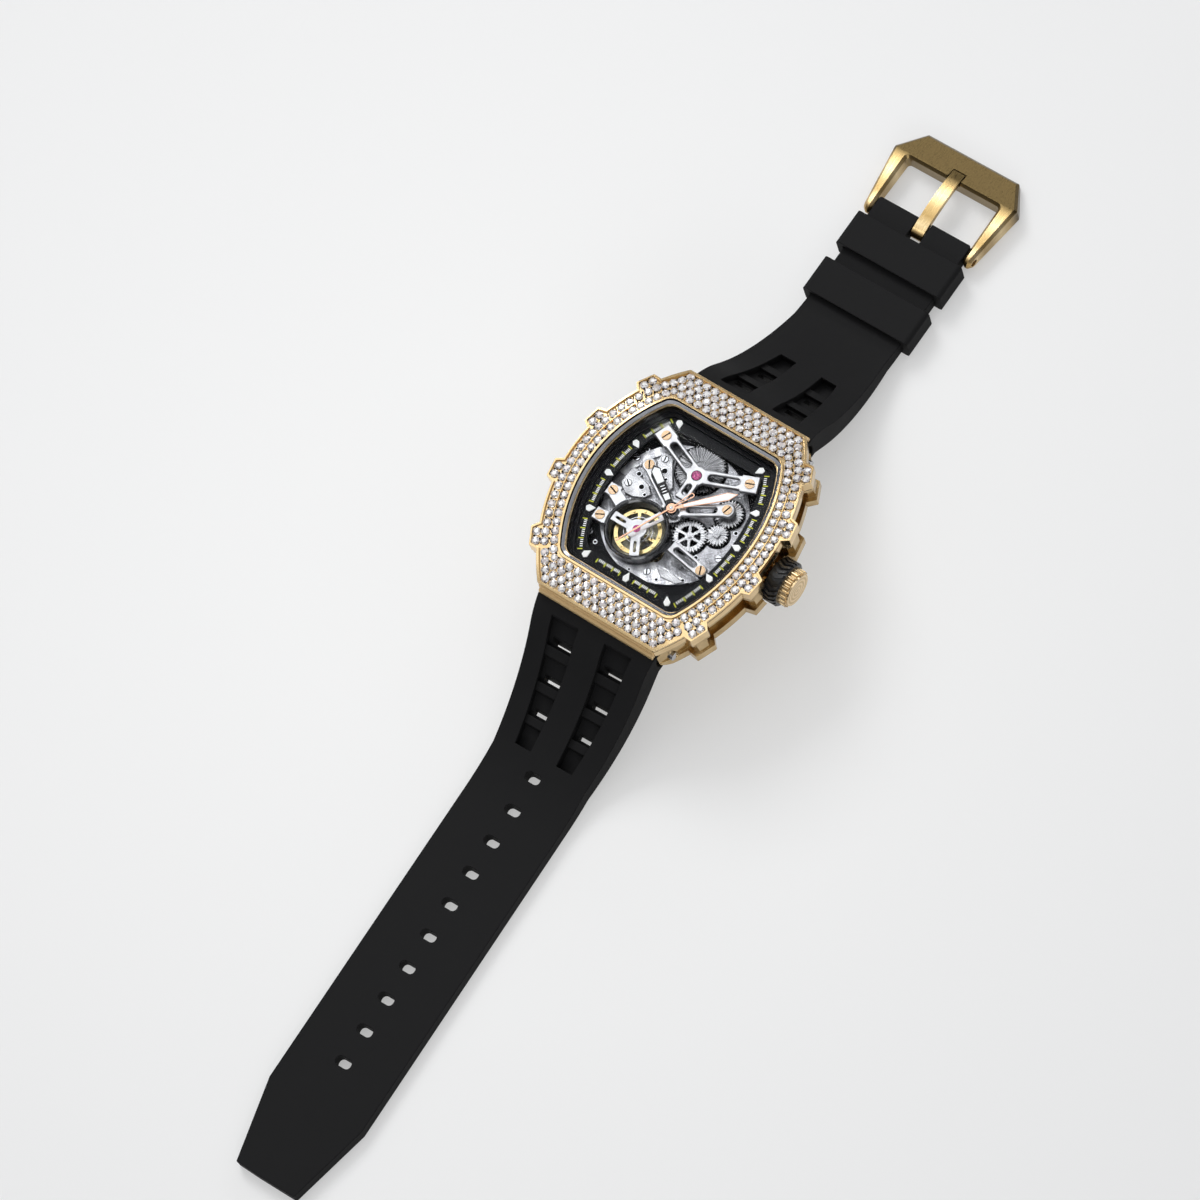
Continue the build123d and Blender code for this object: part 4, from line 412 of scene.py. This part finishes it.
def arcPlate(target, arcs, bottom, top, edge, turn=0.0):
    # flat plate, in millimetres, whose outline runs through arcs; a radius of zero is a corner
    shape = bmesh.new()
    ends = []
    for x, y, radius, start, finish in arcs:
        lean = math.radians(start)
        first = shape.verts.new((x + radius * math.cos(lean), y + radius * math.sin(lean), bottom))
        last = first
        if radius:
            swept = bmesh.ops.spin(shape, geom=[first], cent=(x, y, bottom), axis=(0, 0, 1),
                                   angle=math.radians(finish - start), use_duplicate=False,
                                   steps=max(3, int(abs(finish - start) / 6)))
            last = [item for item in swept["geom_last"] if isinstance(item, bmesh.types.BMVert)][0]
        ends.append((first, last))
    for index, pair in enumerate(ends):
        shape.edges.new((pair[1], ends[(index + 1) % len(ends)][0]))
    bmesh.ops.contextual_create(shape, geom=shape.edges[:])
    raised = bmesh.ops.extrude_face_region(shape, geom=shape.faces[:])
    lifted = [item for item in raised["geom"] if isinstance(item, bmesh.types.BMVert)]
    bmesh.ops.translate(shape, verts=lifted, vec=(0, 0, top - bottom))
    bmesh.ops.recalc_face_normals(shape, faces=shape.faces)
    if edge:
        rims = [item for item in shape.edges if all(abs(vert.co.z - top) < 0.001 for vert in item.verts)]
        bmesh.ops.bevel(shape, geom=rims, offset=edge, offset_type="OFFSET", segments=2, profile=0.5,
                        affect="EDGES", clamp_overlap=True, material=-1)
    bmesh.ops.rotate(shape, verts=shape.verts, cent=(0, 0, 0),
                     matrix=Matrix.Rotation(math.radians(turn), 3, "Z"))
    bmesh.ops.scale(shape, vec=(mm, mm, mm), verts=shape.verts)
    copyInto(target, shape, Matrix())
    shape.free()


def corners(*points):
    return [(x, y, 0, 0, 0) for x, y in points]


def disc(target, x, y, radius, bottom, top, sides=24, rim=0.0):
    # round plate, in millimetres, with a chamfered rim where one is asked for
    shape = bmesh.new()
    bmesh.ops.create_cone(shape, cap_ends=True, segments=sides, radius1=radius, radius2=radius,
                          depth=top - bottom)
    if rim:
        rims = [item for item in shape.edges if all(vert.co.z > 0 for vert in item.verts)]
        bmesh.ops.bevel(shape, geom=rims, offset=rim, offset_type="OFFSET", segments=2, profile=0.5,
                        affect="EDGES", clamp_overlap=True, material=-1)
    place = Matrix.Translation(Vector((x, y, (bottom + top) / 2)) * mm) @ Matrix.Scale(mm, 4)
    copyInto(target, shape, place)
    shape.free()


# pavé stones: one cut shape set where each CAD stone stands
stones = {"girdle": 0.83 * mm, "table": 0.36 * mm, "crown": 0.24 * mm, "lift": 0.11 * mm, "sides": 8,
          "poke": 0.03 * mm, "tilt": 0.05, "smallX": 12.9 * mm, "smallY": 19.35 * mm, "smallScale": 0.86,
          # painted reflections and shade for each kind of facet, light and dark
          "paintedFacetShades": {"table": [(0.99, 0.99, 0.98), (0.99, 0.98, 0.96), (0.99, 0.97, 0.94),
                               (0.70, 0.62, 0.60)],
                     "star": [(0.99, 0.99, 1.0), (0.92, 0.88, 0.86), (0.16, 0.13, 0.18),
                              (0.99, 0.98, 0.96), (0.99, 0.98, 0.99), (0.86, 0.76, 0.66)],
                     "kite": [(0.06, 0.05, 0.09), (0.99, 0.99, 1.0), (0.95, 0.93, 0.96),
                              (0.22, 0.16, 0.12), (0.99, 0.94, 0.88), (0.62, 0.48, 0.32)],
                     "girdle": [(0.97, 0.95, 0.97), (0.52, 0.44, 0.40), (0.10, 0.08, 0.10),
                                (0.90, 0.84, 0.76), (0.99, 0.98, 0.99)]}}


def stonePlaces():
    # centre and upward direction of every stone, read from a merged copy of the node
    shape = bmesh.new()
    shape.from_mesh(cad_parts["bezel_stones"].data)
    bmesh.ops.remove_doubles(shape, verts=shape.verts, dist=0.002 * mm)
    shape.verts.index_update()
    shape.faces.index_update()
    places = []
    left = set(shape.verts)
    while left:
        island = set()
        queue = [left.pop()]
        while queue:
            vert = queue.pop()
            island.add(vert)
            for edge in vert.link_edges:
                other = edge.other_vert(vert)
                if other in left:
                    left.discard(other)
                    queue.append(other)
        island = sorted(island, key=lambda vert: vert.index)
        faces = sorted({face for vert in island for face in vert.link_faces}, key=lambda face: face.index)
        top = max(faces, key=lambda face: face.normal.z * 10 + face.calc_center_median().z * 1000)
        centre = sum((vert.co for vert in island), Vector()) / len(island)
        places.append((centre, top.normal.copy()))
    shape.free()
    # rounded, so that stones in one row keep their order in every run
    return sorted(places, key=lambda place: (round(place[0].y / mm, 2), round(place[0].x / mm, 2)))


def smallPlaces(places):
    # one smaller stone by each corner of the opening, level with its neighbours
    small = []
    for x in (-1, 1):
        for y in (-1, 1):
            spot = Vector((x * stones["smallX"], y * stones["smallY"], 0))
            near = sorted(places, key=lambda place: (place[0].xy - spot.xy).length)[:4]
            spot.z = sum(place[0].z for place in near) / len(near)
            small.append((spot, sum((place[1] for place in near), Vector()).normalized()))
    return small


def cutStone():
    shape = bmesh.new()
    bmesh.ops.create_cone(shape, cap_ends=True, segments=stones["sides"], radius1=stones["girdle"],
                          radius2=stones["table"], depth=stones["crown"])
    flanks = [face for face in shape.faces if abs(face.normal.z) < 0.95]
    bmesh.ops.poke(shape, faces=flanks, offset=stones["poke"])
    under = [face for face in shape.faces if face.normal.z < -0.95]
    bmesh.ops.delete(shape, geom=under, context="FACES_ONLY")
    return shape


def facetKind(face):
    # table, star facets round it, kites, and the small facets along the girdle
    height = face.calc_center_median().z / stones["crown"]
    if face.normal.z > 0.95:
        return "table"
    if height > 0.1:
        return "star"
    return "kite" if height > -0.25 else "girdle"


def setStones():
    places = stonePlaces()
    places += smallPlaces(places)
    bezel = bmesh.new()
    stone = cutStone()
    kinds = [facetKind(face) for face in stone.faces]
    for index, (centre, up) in enumerate(places):
        lean = Vector((dice.uniform(-1, 1), dice.uniform(-1, 1), 0)) * stones["tilt"]
        turn = (up + lean).to_track_quat("Z", "Y").to_matrix().to_4x4()
        spin = Matrix.Rotation(dice.uniform(0, math.pi), 4, "Z")
        size = stones["smallScale"] if index >= len(places) - 4 else 1.0
        place = Matrix.Translation(centre + up * stones["lift"]) @ turn @ spin @ Matrix.Scale(size, 4)
        copyInto(bezel, stone, place)
    stone.free()
    piece = toObject(bezel, "pave_stones", "gem", "case", ("bezel_stones",))
    # each facet takes a painted light or dark reflection tone
    paintedFacetTones = piece.data.attributes.new("facetTone", "FLOAT_COLOR", "FACE")
    for index, item in enumerate(paintedFacetTones.data):
        item.color = dice.choice(stones["paintedFacetShades"][kinds[index % len(kinds)]]) + (1.0,)
    return places


# gold grains that hold the stones, and dark discs of painted shade in the hollows between them
grains = {"pitch": 2.05 * mm, "gapReach": 0.86 * mm, "leastReach": 0.42 * mm, "clearShare": 0.93,
          "apart": 0.34 * mm, "radius": 0.14 * mm, "lift": 0.10 * mm, "pitRadius": 0.20 * mm,
          "pitFootShare": 0.8, "pitDepth": 0.1 * mm, "pitLift": 0.06 * mm}


def gapPoints(places):
    # the two hollows beside every pair of neighbouring stones
    points = []
    for index, (centre, up) in enumerate(places):
        for other, _ in places[index + 1:]:
            span = other - centre
            if span.length > grains["pitch"]:
                continue
            middle = (centre + other) / 2
            across = up.cross(span).normalized()
            for side in (-1, 1):
                reach = math.sqrt(max(0.0, grains["gapReach"] ** 2 - (span.length / 2) ** 2))
                spot = middle + across * max(reach, grains["leastReach"]) * side
                near = min((spot - place[0]).length for place in places)
                clear = near > grains["gapReach"] * grains["clearShare"]
                if clear and all((spot - old[0]).length > grains["apart"] for old in points):
                    points.append((spot, up))
    return points


def setGrains(places):
    kinds = {"grain": bmesh.new(), "pit": bmesh.new()}
    grain = bmesh.new()
    bmesh.ops.create_icosphere(grain, subdivisions=1, radius=grains["radius"])
    pit = bmesh.new()
    bmesh.ops.create_cone(pit, cap_ends=True, segments=6, radius1=grains["pitRadius"],
                          radius2=grains["pitRadius"] * grains["pitFootShare"], depth=grains["pitDepth"])
    points = gapPoints(places)
    for index, (spot, up) in enumerate(points):
        turn = up.to_track_quat("Z", "Y").to_matrix().to_4x4()
        # every other hollow gets a dark disc of painted shade, the rest a gold grain
        if index % 2:
            copyInto(kinds["pit"], pit, Matrix.Translation(spot + up * grains["pitLift"]) @ turn)
        else:
            copyInto(kinds["grain"], grain, Matrix.Translation(spot + up * grains["lift"]) @ turn)
    grain.free()
    pit.free()
    toObject(kinds["grain"], "pave_grains", "goldGrain", "case", smooth=True)
    toObject(kinds["pit"], "pave_hollow_shade", "shadow", "case")
    print("pave:", len(places), "stones,", len(points), "grains and pits")


setGrains(setStones())

# minute track, its outline in half sizes
track = {"halfWidth": 17.1, "halfLength": 17.4, "endHalfWidth": 12.0, "inset": 2.55, "level": 11.30,
         "minuteLength": 0.95, "minuteWidth": 0.17, "fifthLength": 0.55, "fifthWidth": 0.15,
         "height": 0.06, "sink": 0.01, "clearOfHour": 0.99, "clearOfTwelve": 4.05}


def trackPoint(minute, inset):
    # where the ray of that minute meets the outline moved inwards
    bulge = track["halfWidth"] - track["endHalfWidth"]
    radius = (track["halfLength"] ** 2 + bulge ** 2) / (2 * bulge)
    middle = track["halfWidth"] - radius
    angle = math.radians(90 - 6 * minute)
    low, high = 5.0, 25.0
    for _ in range(40):
        reach = (low + high) / 2
        x, y = reach * math.cos(angle), reach * math.sin(angle)
        inside = math.hypot(abs(x) - middle, y) < radius - inset and abs(y) < track["halfLength"] - inset
        low, high = (reach, high) if inside else (low, reach)
    onEnd = abs(abs(y) - (track["halfLength"] - inset)) < 0.01
    normal = math.atan2(y, 0.0001) if onEnd else math.atan2(y, abs(x) - middle)
    if not onEnd and x < 0:
        normal = math.pi - normal
    return x, y, normal


def makeTicks():
    lines = {"minute": bmesh.new(), "fifth": bmesh.new()}
    for index in range(300):
        minute = index / 5
        whole = index % 5 == 0
        nearHour = min(abs(minute - hour) for hour in range(0, 61, 5))
        nearTwelve = min(minute, 60 - minute)
        if nearHour < track["clearOfHour"] or nearTwelve < track["clearOfTwelve"]:
            continue
        kind = "minute" if whole else "fifth"
        length = track[kind + "Length"]
        x, y, normal = trackPoint(minute, track["inset"] - (length - track["fifthLength"]) / 2)
        level = track["level"] - archDrop(y) + track["height"] / 2 - track["sink"]
        box = bmesh.new()
        bmesh.ops.create_cube(box, size=1.0)
        size = Matrix.Diagonal((length * mm, track[kind + "Width"] * mm, track["height"] * mm, 1))
        place = Matrix.Translation(Vector((x, y, level)) * mm) @ Matrix.Rotation(normal, 4, "Z") @ size
        copyInto(lines[kind], box, place)
        box.free()
    toObject(lines["minute"], "track_minutes", "tickYellow", "case")
    toObject(lines["fifth"], "track_fifths", "tickWhite", "case")


makeTicks()
print("minute track")

# sloping bright ring between the bezel and the crystal
ring = {"halfWidth": 17.8, "halfLength": 18.1, "endHalfWidth": 12.4, "corner": 1.9, "gap": 0.01,
        "seal": 0.2, "width": 0.72, "top": 14.55, "middle": 14.46, "ringTop": 14.44, "bottom": 14.06,
        "foot": 13.66}


def outlineLoop(target, inset, level):
    # barrel outline moved inwards, its ends lowered along the arch
    bulge = ring["halfWidth"] - ring["endHalfWidth"]
    radius = (ring["halfLength"] ** 2 + bulge ** 2) / (2 * bulge)
    lean = math.asin(ring["halfLength"] / radius)
    halfLength = ring["halfLength"] - inset
    endHalf = ring["endHalfWidth"] - inset * math.tan(math.pi / 4 - lean / 2)
    bulge = ring["halfWidth"] - inset - endHalf
    radius = (halfLength ** 2 + bulge ** 2) / (2 * bulge)
    loop = bmesh.new()
    first = loop.verts.new((endHalf, -halfLength, 0))
    bmesh.ops.spin(loop, geom=[first], cent=(endHalf + bulge - radius, 0, 0), axis=(0, 0, 1),
                   angle=2 * math.asin(halfLength / radius), steps=36, use_duplicate=False)
    bmesh.ops.mirror(loop, geom=loop.verts[:] + loop.edges[:], matrix=Matrix(), merge_dist=-1, axis="X")
    for side in (-1, 1):
        loop.edges.new([vert for vert in loop.verts if abs(vert.co.y - side * halfLength) < 0.001])
    turns = [vert for vert in loop.verts if abs(abs(vert.co.y) - halfLength) < 0.001]
    bmesh.ops.bevel(loop, geom=turns, offset=ring["corner"] - inset / 2, offset_type="OFFSET", segments=6,
                    profile=0.5, affect="VERTICES", clamp_overlap=False, material=-1)
    for vert in loop.verts:
        vert.co.z = level - archDrop(vert.co.y)
    bmesh.ops.scale(loop, vec=(mm, mm, mm), verts=loop.verts)
    before = len(target.edges)
    copyInto(target, loop, Matrix())
    loop.free()
    target.edges.ensure_lookup_table()
    return target.edges[before:]


def profileRing(name, finishName, steps, replaced=()):
    # closed ring whose section runs through the given pairs of inset and level
    shape = bmesh.new()
    for inset, level in steps:
        outlineLoop(shape, inset, level)
    count = len(shape.edges) // len(steps)
    shape.edges.ensure_lookup_table()
    loops = [shape.edges[index * count:(index + 1) * count] for index in range(len(steps))]
    for index, loop in enumerate(loops):
        bmesh.ops.bridge_loops(shape, edges=loop + loops[(index + 1) % len(loops)])
    bmesh.ops.recalc_face_normals(shape, faces=shape.faces)
    toObject(shape, name, finishName, "case", replaced)


profileRing("crystal_seal", "gasket",
            [(ring["gap"], ring["top"]), (ring["seal"], ring["middle"]), (ring["seal"], ring["foot"]),
             (ring["gap"], ring["foot"])], ("crystal_gasket",))
profileRing("crystal_ring", "ringSteel",
            [(ring["seal"], ring["ringTop"]), (ring["width"], ring["bottom"]),
             (ring["width"], ring["foot"]), (ring["seal"], ring["foot"])])

# thin gold ridge between the two side rows of stones
ridge = {"centre": -15.75, "radius": 35.66, "sweep": 44.0, "width": 0.15, "top": 14.70, "height": 0.3}


def makeRidges():
    ridges = bmesh.new()
    for side in (-1, 1):
        strip = bmesh.new()
        bmesh.ops.create_grid(strip, x_segments=1, y_segments=1, size=0.5)
        upright = Matrix.Rotation(math.radians(90), 4, "X")
        size = Matrix.Diagonal((ridge["width"], ridge["height"], 1, 1))
        bmesh.ops.transform(strip, matrix=upright @ size, verts=strip.verts)
        place = Vector((ridge["centre"] + ridge["radius"], 0, ridge["top"] - ridge["height"] / 2))
        bmesh.ops.translate(strip, verts=strip.verts, vec=place)
        centre = (ridge["centre"], 0, 0)
        half = Matrix.Rotation(-math.radians(ridge["sweep"] / 2), 3, "Z")
        bmesh.ops.rotate(strip, verts=strip.verts, cent=centre, matrix=half)
        bmesh.ops.spin(strip, geom=strip.verts[:] + strip.edges[:] + strip.faces[:], cent=centre,
                       axis=(0, 0, 1), angle=math.radians(ridge["sweep"]), steps=28, use_duplicate=False)
        if side < 0:
            bmesh.ops.scale(strip, vec=(-1, 1, 1), verts=strip.verts)
        for vert in strip.verts:
            vert.co.z -= archDrop(vert.co.y)
        bmesh.ops.remove_doubles(strip, verts=strip.verts, dist=0.001)
        bmesh.ops.recalc_face_normals(strip, faces=strip.faces)
        bmesh.ops.scale(strip, vec=(mm, mm, mm), verts=strip.verts)
        copyInto(ridges, strip, Matrix())
        strip.free()
    toObject(ridges, "pave_ridges", "goldGrain", "case")


makeRidges()
print("crystal ring and ridges")

# stepped gold band below the bezel at both ends, as pairs of reach and level
band = {"half": 12.9, "section": ((24.6, 11.0), (24.92, 10.86), (24.98, 9.85), (25.40, 9.55),
                                  (25.46, 8.72), (24.6, 8.72))}


def makeEndBands():
    shape = bmesh.new()
    upright = Matrix(((0, 0, 1, 0), (1, 0, 0, 0), (0, 1, 0, 0), (0, 0, 0, 1)))
    for turn in (0, 180):
        bar = bmesh.new()
        arcPlate(bar, corners(*band["section"]), -band["half"], band["half"], 0)
        copyInto(shape, bar, Matrix.Rotation(math.radians(turn), 4, "Z") @ upright)
        bar.free()
    toObject(shape, "end_bands", "goldBand", "case")


makeEndBands()

# white filling of the hands
hands = {"hour": {"turn": 145.6, "level": 12.03, "body": "hours",
                  "outlines": (((5.72, -0.66), (8.45, -0.76), (9.12, 0), (8.45, 0.76), (5.72, 0.66)),
                               ((2.0, -0.50), (3.25, -0.54), (3.25, 0.54), (2.0, 0.50)))},
         "minute": {"turn": 43.5, "level": 12.31, "body": "minutes",
                    "outlines": (((2.3, -0.24), (10.6, -0.66), (12.2, 0), (10.6, 0.66), (2.3, 0.24)),)},
         "bars": (3.75, 4.35, 4.95), "barHalf": (0.09, 0.42), "barHeight": 0.03, "height": 0.06,
         "edge": 0.03, "sink": 0.01}


def fillHand(kind):
    hand = hands[kind]
    shape = bmesh.new()
    for outline in hand["outlines"]:
        arcPlate(shape, corners(*outline), hand["level"] - hands["sink"], hand["level"] + hands["height"],
                 hands["edge"], hand["turn"])
    toObject(shape, kind + "_hand_filling", "lume", hand["body"])


def barHand():
    # short steel bars across the dark middle of the hour hand
    shape = bmesh.new()
    thin, wide = hands["barHalf"]
    level = hands["hour"]["level"]
    for reach in hands["bars"]:
        outline = corners((reach - thin, -wide), (reach + thin, -wide), (reach + thin, wide),
                          (reach - thin, wide))
        arcPlate(shape, outline, level - hands["sink"], level + hands["barHeight"], 0,
                 hands["hour"]["turn"])
    toObject(shape, "hour_hand_bars", "steel", "hours")


fillHand("hour")
fillHand("minute")
barHand()
print("hands filled")

# slots of the bridge screws with painted shade in them, a dark ring of painted shade round the jewel, the
# small silver screws with painted shade round their seats, and bearing rims with painted shade in their holes
screws = {"places": ((9.45, 11.6), (-9.45, 11.6), (11.4, -7.15), (-11.7, -2.4), (-11.0, -7.7),
                     (8.8075, 5.2125), (-8.8075, 5.2125)),
          "first": 20.0, "next": 47.0, "half": 0.84, "slotHalf": 0.125, "floor": 11.53, "thick": 0.03,
          "jewel": (0.0, 7.9), "jewelRadius": 0.84, "jewelLevels": (11.6, 11.70), "jewelEdge": 0.07,
          "shadeRingRadius": 1.04, "shadeRingLevels": (11.59, 11.625),
          "silver": ((-12.55, 5.75, 9.35, 25), (6.85, -10.6, 9.35, 70), (-7.7, 8.1, 9.55, 100),
                     (-10.9, 0.7, 9.55, 140), (-4.6, 3.1, 9.55, 15), (-11.6, -10.9, 9.35, 60),
                     (12.0, -2.9, 9.0, 35), (2.2, -11.9, 9.35, 120)),
          "silverHalf": 0.62, "silverSlot": 0.10, "rise": 0.14, "silverEdge": 0.03, "seatWidth": 0.10,
          "seatTop": 0.03, "sink": 0.02, "rimWidth": 0.16, "rimTop": 0.05, "rimEdge": 0.04,
          "holeTop": 0.062,
          "holes": ((-11.67, 8.0, 9.35, 0.30), (-10.2, 3.2, 9.55, 0.42), (-8.3, 1.3, 9.55, 0.5),
                    (-6.4, 6.1, 9.55, 0.55), (-5.2, 4.9, 9.55, 0.25), (-9.6, -12.0, 9.0, 0.3),
                    (4.6, -12.3, 9.35, 0.28), (-0.9, -13.25, 9.35, 0.25), (8.9, -9.9, 9.35, 0.3),
                    (11.9, 2.9, 9.0, 0.35), (8.3, -4.9, 9.0, 0.35), (-6.9, 0.3, 9.55, 0.28))}


def dressScrews():
    slots = bmesh.new()
    for index, (x, y) in enumerate(screws["places"]):
        bar = bmesh.new()
        half, wide = screws["half"], screws["slotHalf"]
        arcPlate(bar, corners((-half, -wide), (half, -wide), (half, wide), (-half, wide)), screws["floor"],
                 screws["floor"] + screws["thick"], 0, screws["first"] + screws["next"] * index)
        copyInto(slots, bar, Matrix.Translation(Vector((x, y, 0)) * mm))
        bar.free()
    toObject(slots, "screw_slot_shadows", "shadow", "case")
    setting = bmesh.new()
    # dark ring of painted shade round the jewel
    x, y = screws["jewel"]
    disc(setting, x, y, screws["shadeRingRadius"], *screws["shadeRingLevels"], 32)
    toObject(setting, "jewel_shade_ring", "shadow", "case")
    stone = bmesh.new()
    disc(stone, x, y, screws["jewelRadius"], *screws["jewelLevels"], 24, screws["jewelEdge"])
    toObject(stone, "jewel_top", "ruby", "case")
    heads = bmesh.new()
    dark = bmesh.new()
    for x, y, level, turn in screws["silver"]:
        half = screws["silverHalf"]
        gap = math.degrees(math.asin(screws["silverSlot"] / half))
        # dark disc of painted shade round the seat of each silver screw
        disc(dark, x, y, half + screws["seatWidth"], level - screws["sink"], level + screws["seatTop"], 20)
        for side in (0, 180):
            moon = bmesh.new()
            arcPlate(moon, [(0, 0, half, gap, 180 - gap)], level, level + screws["rise"],
                     screws["silverEdge"], turn + side)
            copyInto(heads, moon, Matrix.Translation(Vector((x, y, 0)) * mm))
            moon.free()
    holes = bmesh.new()
    for x, y, level, half in screws["holes"]:
        disc(holes, x, y, half + screws["rimWidth"], level - screws["sink"], level + screws["rimTop"], 20,
             screws["rimEdge"])
        # dark disc of painted shade in each bearing hole
        disc(dark, x, y, half, level, level + screws["holeTop"], 16)
    toObject(heads, "small_screws", "mirrorSteel", "case")
    toObject(holes, "bearing_rims", "mirrorSteel", "case")
    toObject(dark, "screw_seat_and_hole_shade", "shadow", "case")


dressScrews()

# stepped plates over the mainplate, beside the bridges
plates = {"bottom": 8.98, "top": 9.55, "low": 9.25, "edge": 0.12,
          "left": ((-12.25, 0.1), (-12.1, 3.6), (-10.9, 4.0), (-9.6, 2.9), (-7.4, 2.4), (-5.9, 1.0),
                   (-6.6, -0.2), (-8.6, -1.1), (-10.3, -1.3)),
          "upper": ((-8.9, 7.2), (-8.6, 9.2), (-6.6, 9.6), (-6.1, 8.3), (-4.4, 5.9), (-3.2, 4.2),
                    (-3.6, 2.5), (-5.1, 2.5), (-6.9, 4.5)),
          "lever": ((-12.0, 4.4), (-11.4, 6.9), (-9.9, 8.7), (-9.5, 7.6), (-10.6, 5.9), (-10.9, 4.5)),
          "lowRight": ((3.0, -10.1), (6.0, -9.7), (9.4, -10.1), (8.2, -11.2), (5.0, -11.5))}


def makeDialPlates():
    shape = bmesh.new()
    for name, top in (("left", "top"), ("upper", "top"), ("lever", "low"), ("lowRight", "top")):
        arcPlate(shape, corners(*plates[name]), plates["bottom"], plates[top], plates["edge"])
    toObject(shape, "stepped_plates", "plateSteel", "case")


makeDialPlates()
print("movement dressed")

# camera at the photo's angle
shot = {"place": (0.338247, -0.224786, 0.886389), "right": (0.801714, 0.570435, -0.178486),
        "up": (-0.48197, 0.793586, 0.371385), "back": (0.353495, -0.21172, 0.911162), "lens": 158.13}


def placeCamera():
    data = bpy.data.cameras.new("photo camera")
    data.sensor_width = 36.0
    data.sensor_fit = "HORIZONTAL"
    data.lens = shot["lens"]
    data.clip_start = 0.05
    data.clip_end = 20.0
    camera = bpy.data.objects.new("photo camera", data)
    bpy.context.scene.collection.objects.link(camera)
    turn = Matrix((shot["right"], shot["up"], shot["back"])).transposed()
    camera.matrix_world = Matrix.Translation(shot["place"]) @ turn.to_4x4()
    bpy.context.scene.camera = camera


# pale floor that keeps the shadow, and shows paler to the camera and in polished metal, with a painted pool
# of light that is brightest round the watch
studio = {"level": -11.93 * mm, "halfSize": 2.5, "low": (0.78, 0.785, 0.79), "high": (0.82, 0.82, 0.82),
          "poolCentre": (-0.035, -0.02, 0), "poolNear": (1.0, 1.0, 0.99), "poolFar": (0.74, 0.74, 0.74),
          "poolStrength": 1.15, "poolShare": 0.37}


def makeFloor():
    finish = Finish("studio floor")
    cloud = finish.noise(finish.place, 3.0, 2.0)
    colour = finish.blend(cloud, rgb(*studio["low"]), rgb(*studio["high"]))
    body = finish.add("ShaderNodeBsdfDiffuse", None, {"Color": colour})
    # painted pool of light: the pale emission fades from near the watch outwards
    middle = finish.add("ShaderNodeVectorMath", {"operation": "DISTANCE"},
                        {0: finish.place, 1: studio["poolCentre"]}, 1)
    pool = finish.blend((middle * 5.0 - 0.2).clamp(0.0, 1.0), rgb(*studio["poolNear"]),
                        rgb(*studio["poolFar"]))
    pale = finish.add("ShaderNodeEmission", None, {"Color": pool, "Strength": studio["poolStrength"]})
    seen = [finish.add("ShaderNodeLightPath", None, None, output) for output in
            ("Is Camera Ray", "Is Glossy Ray", "Is Transmission Ray")]
    share = (seen[0] + seen[1] + seen[2]).clamp(0.0, 1.0) * studio["poolShare"]
    material = finish.finishWith(finish.add("ShaderNodeMixShader", None, {0: share, 1: body, 2: pale}))
    shape = bmesh.new()
    bmesh.ops.create_grid(shape, x_segments=4, y_segments=4, size=studio["halfSize"])
    bmesh.ops.translate(shape, verts=shape.verts, vec=(0, 0, studio["level"]))
    mesh = bpy.data.meshes.new("studio_floor")
    shape.to_mesh(mesh)
    shape.free()
    mesh.materials.append(material)
    floor = bpy.data.objects.new("studio_floor", mesh)
    bpy.context.scene.collection.objects.link(floor)


# soft grey room, darker below
room = {"stops": [(0.0, (0.11, 0.11, 0.12)), (0.9, (0.85, 0.86, 0.88)), (0.35, (0.38, 0.38, 0.39))],
        "strength": 0.62}


def makeRoom():
    finish = Finish("studio", bpy.data.worlds)
    around = finish.add("ShaderNodeTexCoord", output="Generated")
    height = finish.add("ShaderNodeSeparateXYZ", None, {0: around}, 2)
    shade = finish.add("ShaderNodeValToRGB", {"stops": room["stops"]}, {0: height})
    glow = finish.add("ShaderNodeBackground", None, {"Color": shade, "Strength": room["strength"]})
    bpy.context.scene.world = finish.finishWith(glow, "ShaderNodeOutputWorld")


# area lamps: place, point that they face, size in metres and watts
lamps = {"key": ((-0.85, 0.55, 1.0), (0, 0, 0), (0.6, 0.6), 8.4),
         "overhead": ((-0.56, 0.2, 1.36), (0, 0, 0), (1.0, 1.2), 3.6),
         "fill": ((0.55, -0.95, 0.6), (0, -0.04, 0), (0.7, 0.3), 2.2),
         "rim": ((-0.1, 0.9, 0.45), (0, 0, 0), (0.8, 0.2), 1.4)}


def addLamp(name, place, aim, size, power):
    data = bpy.data.lights.new(name, "AREA")
    data.shape = "RECTANGLE"
    data.size, data.size_y = size
    data.energy = power
    lamp = bpy.data.objects.new(name, data)
    bpy.context.scene.collection.objects.link(lamp)
    direction = Vector(aim) - Vector(place)
    turn = direction.to_track_quat("-Z", "Y").to_matrix().to_4x4()
    lamp.matrix_world = Matrix.Translation(place) @ turn


placeCamera()
makeFloor()
makeRoom()
for lampName, values in lamps.items():
    addLamp(lampName, *values)
bpy.context.scene.view_settings.view_transform = "Standard"
print("camera, floor and light")
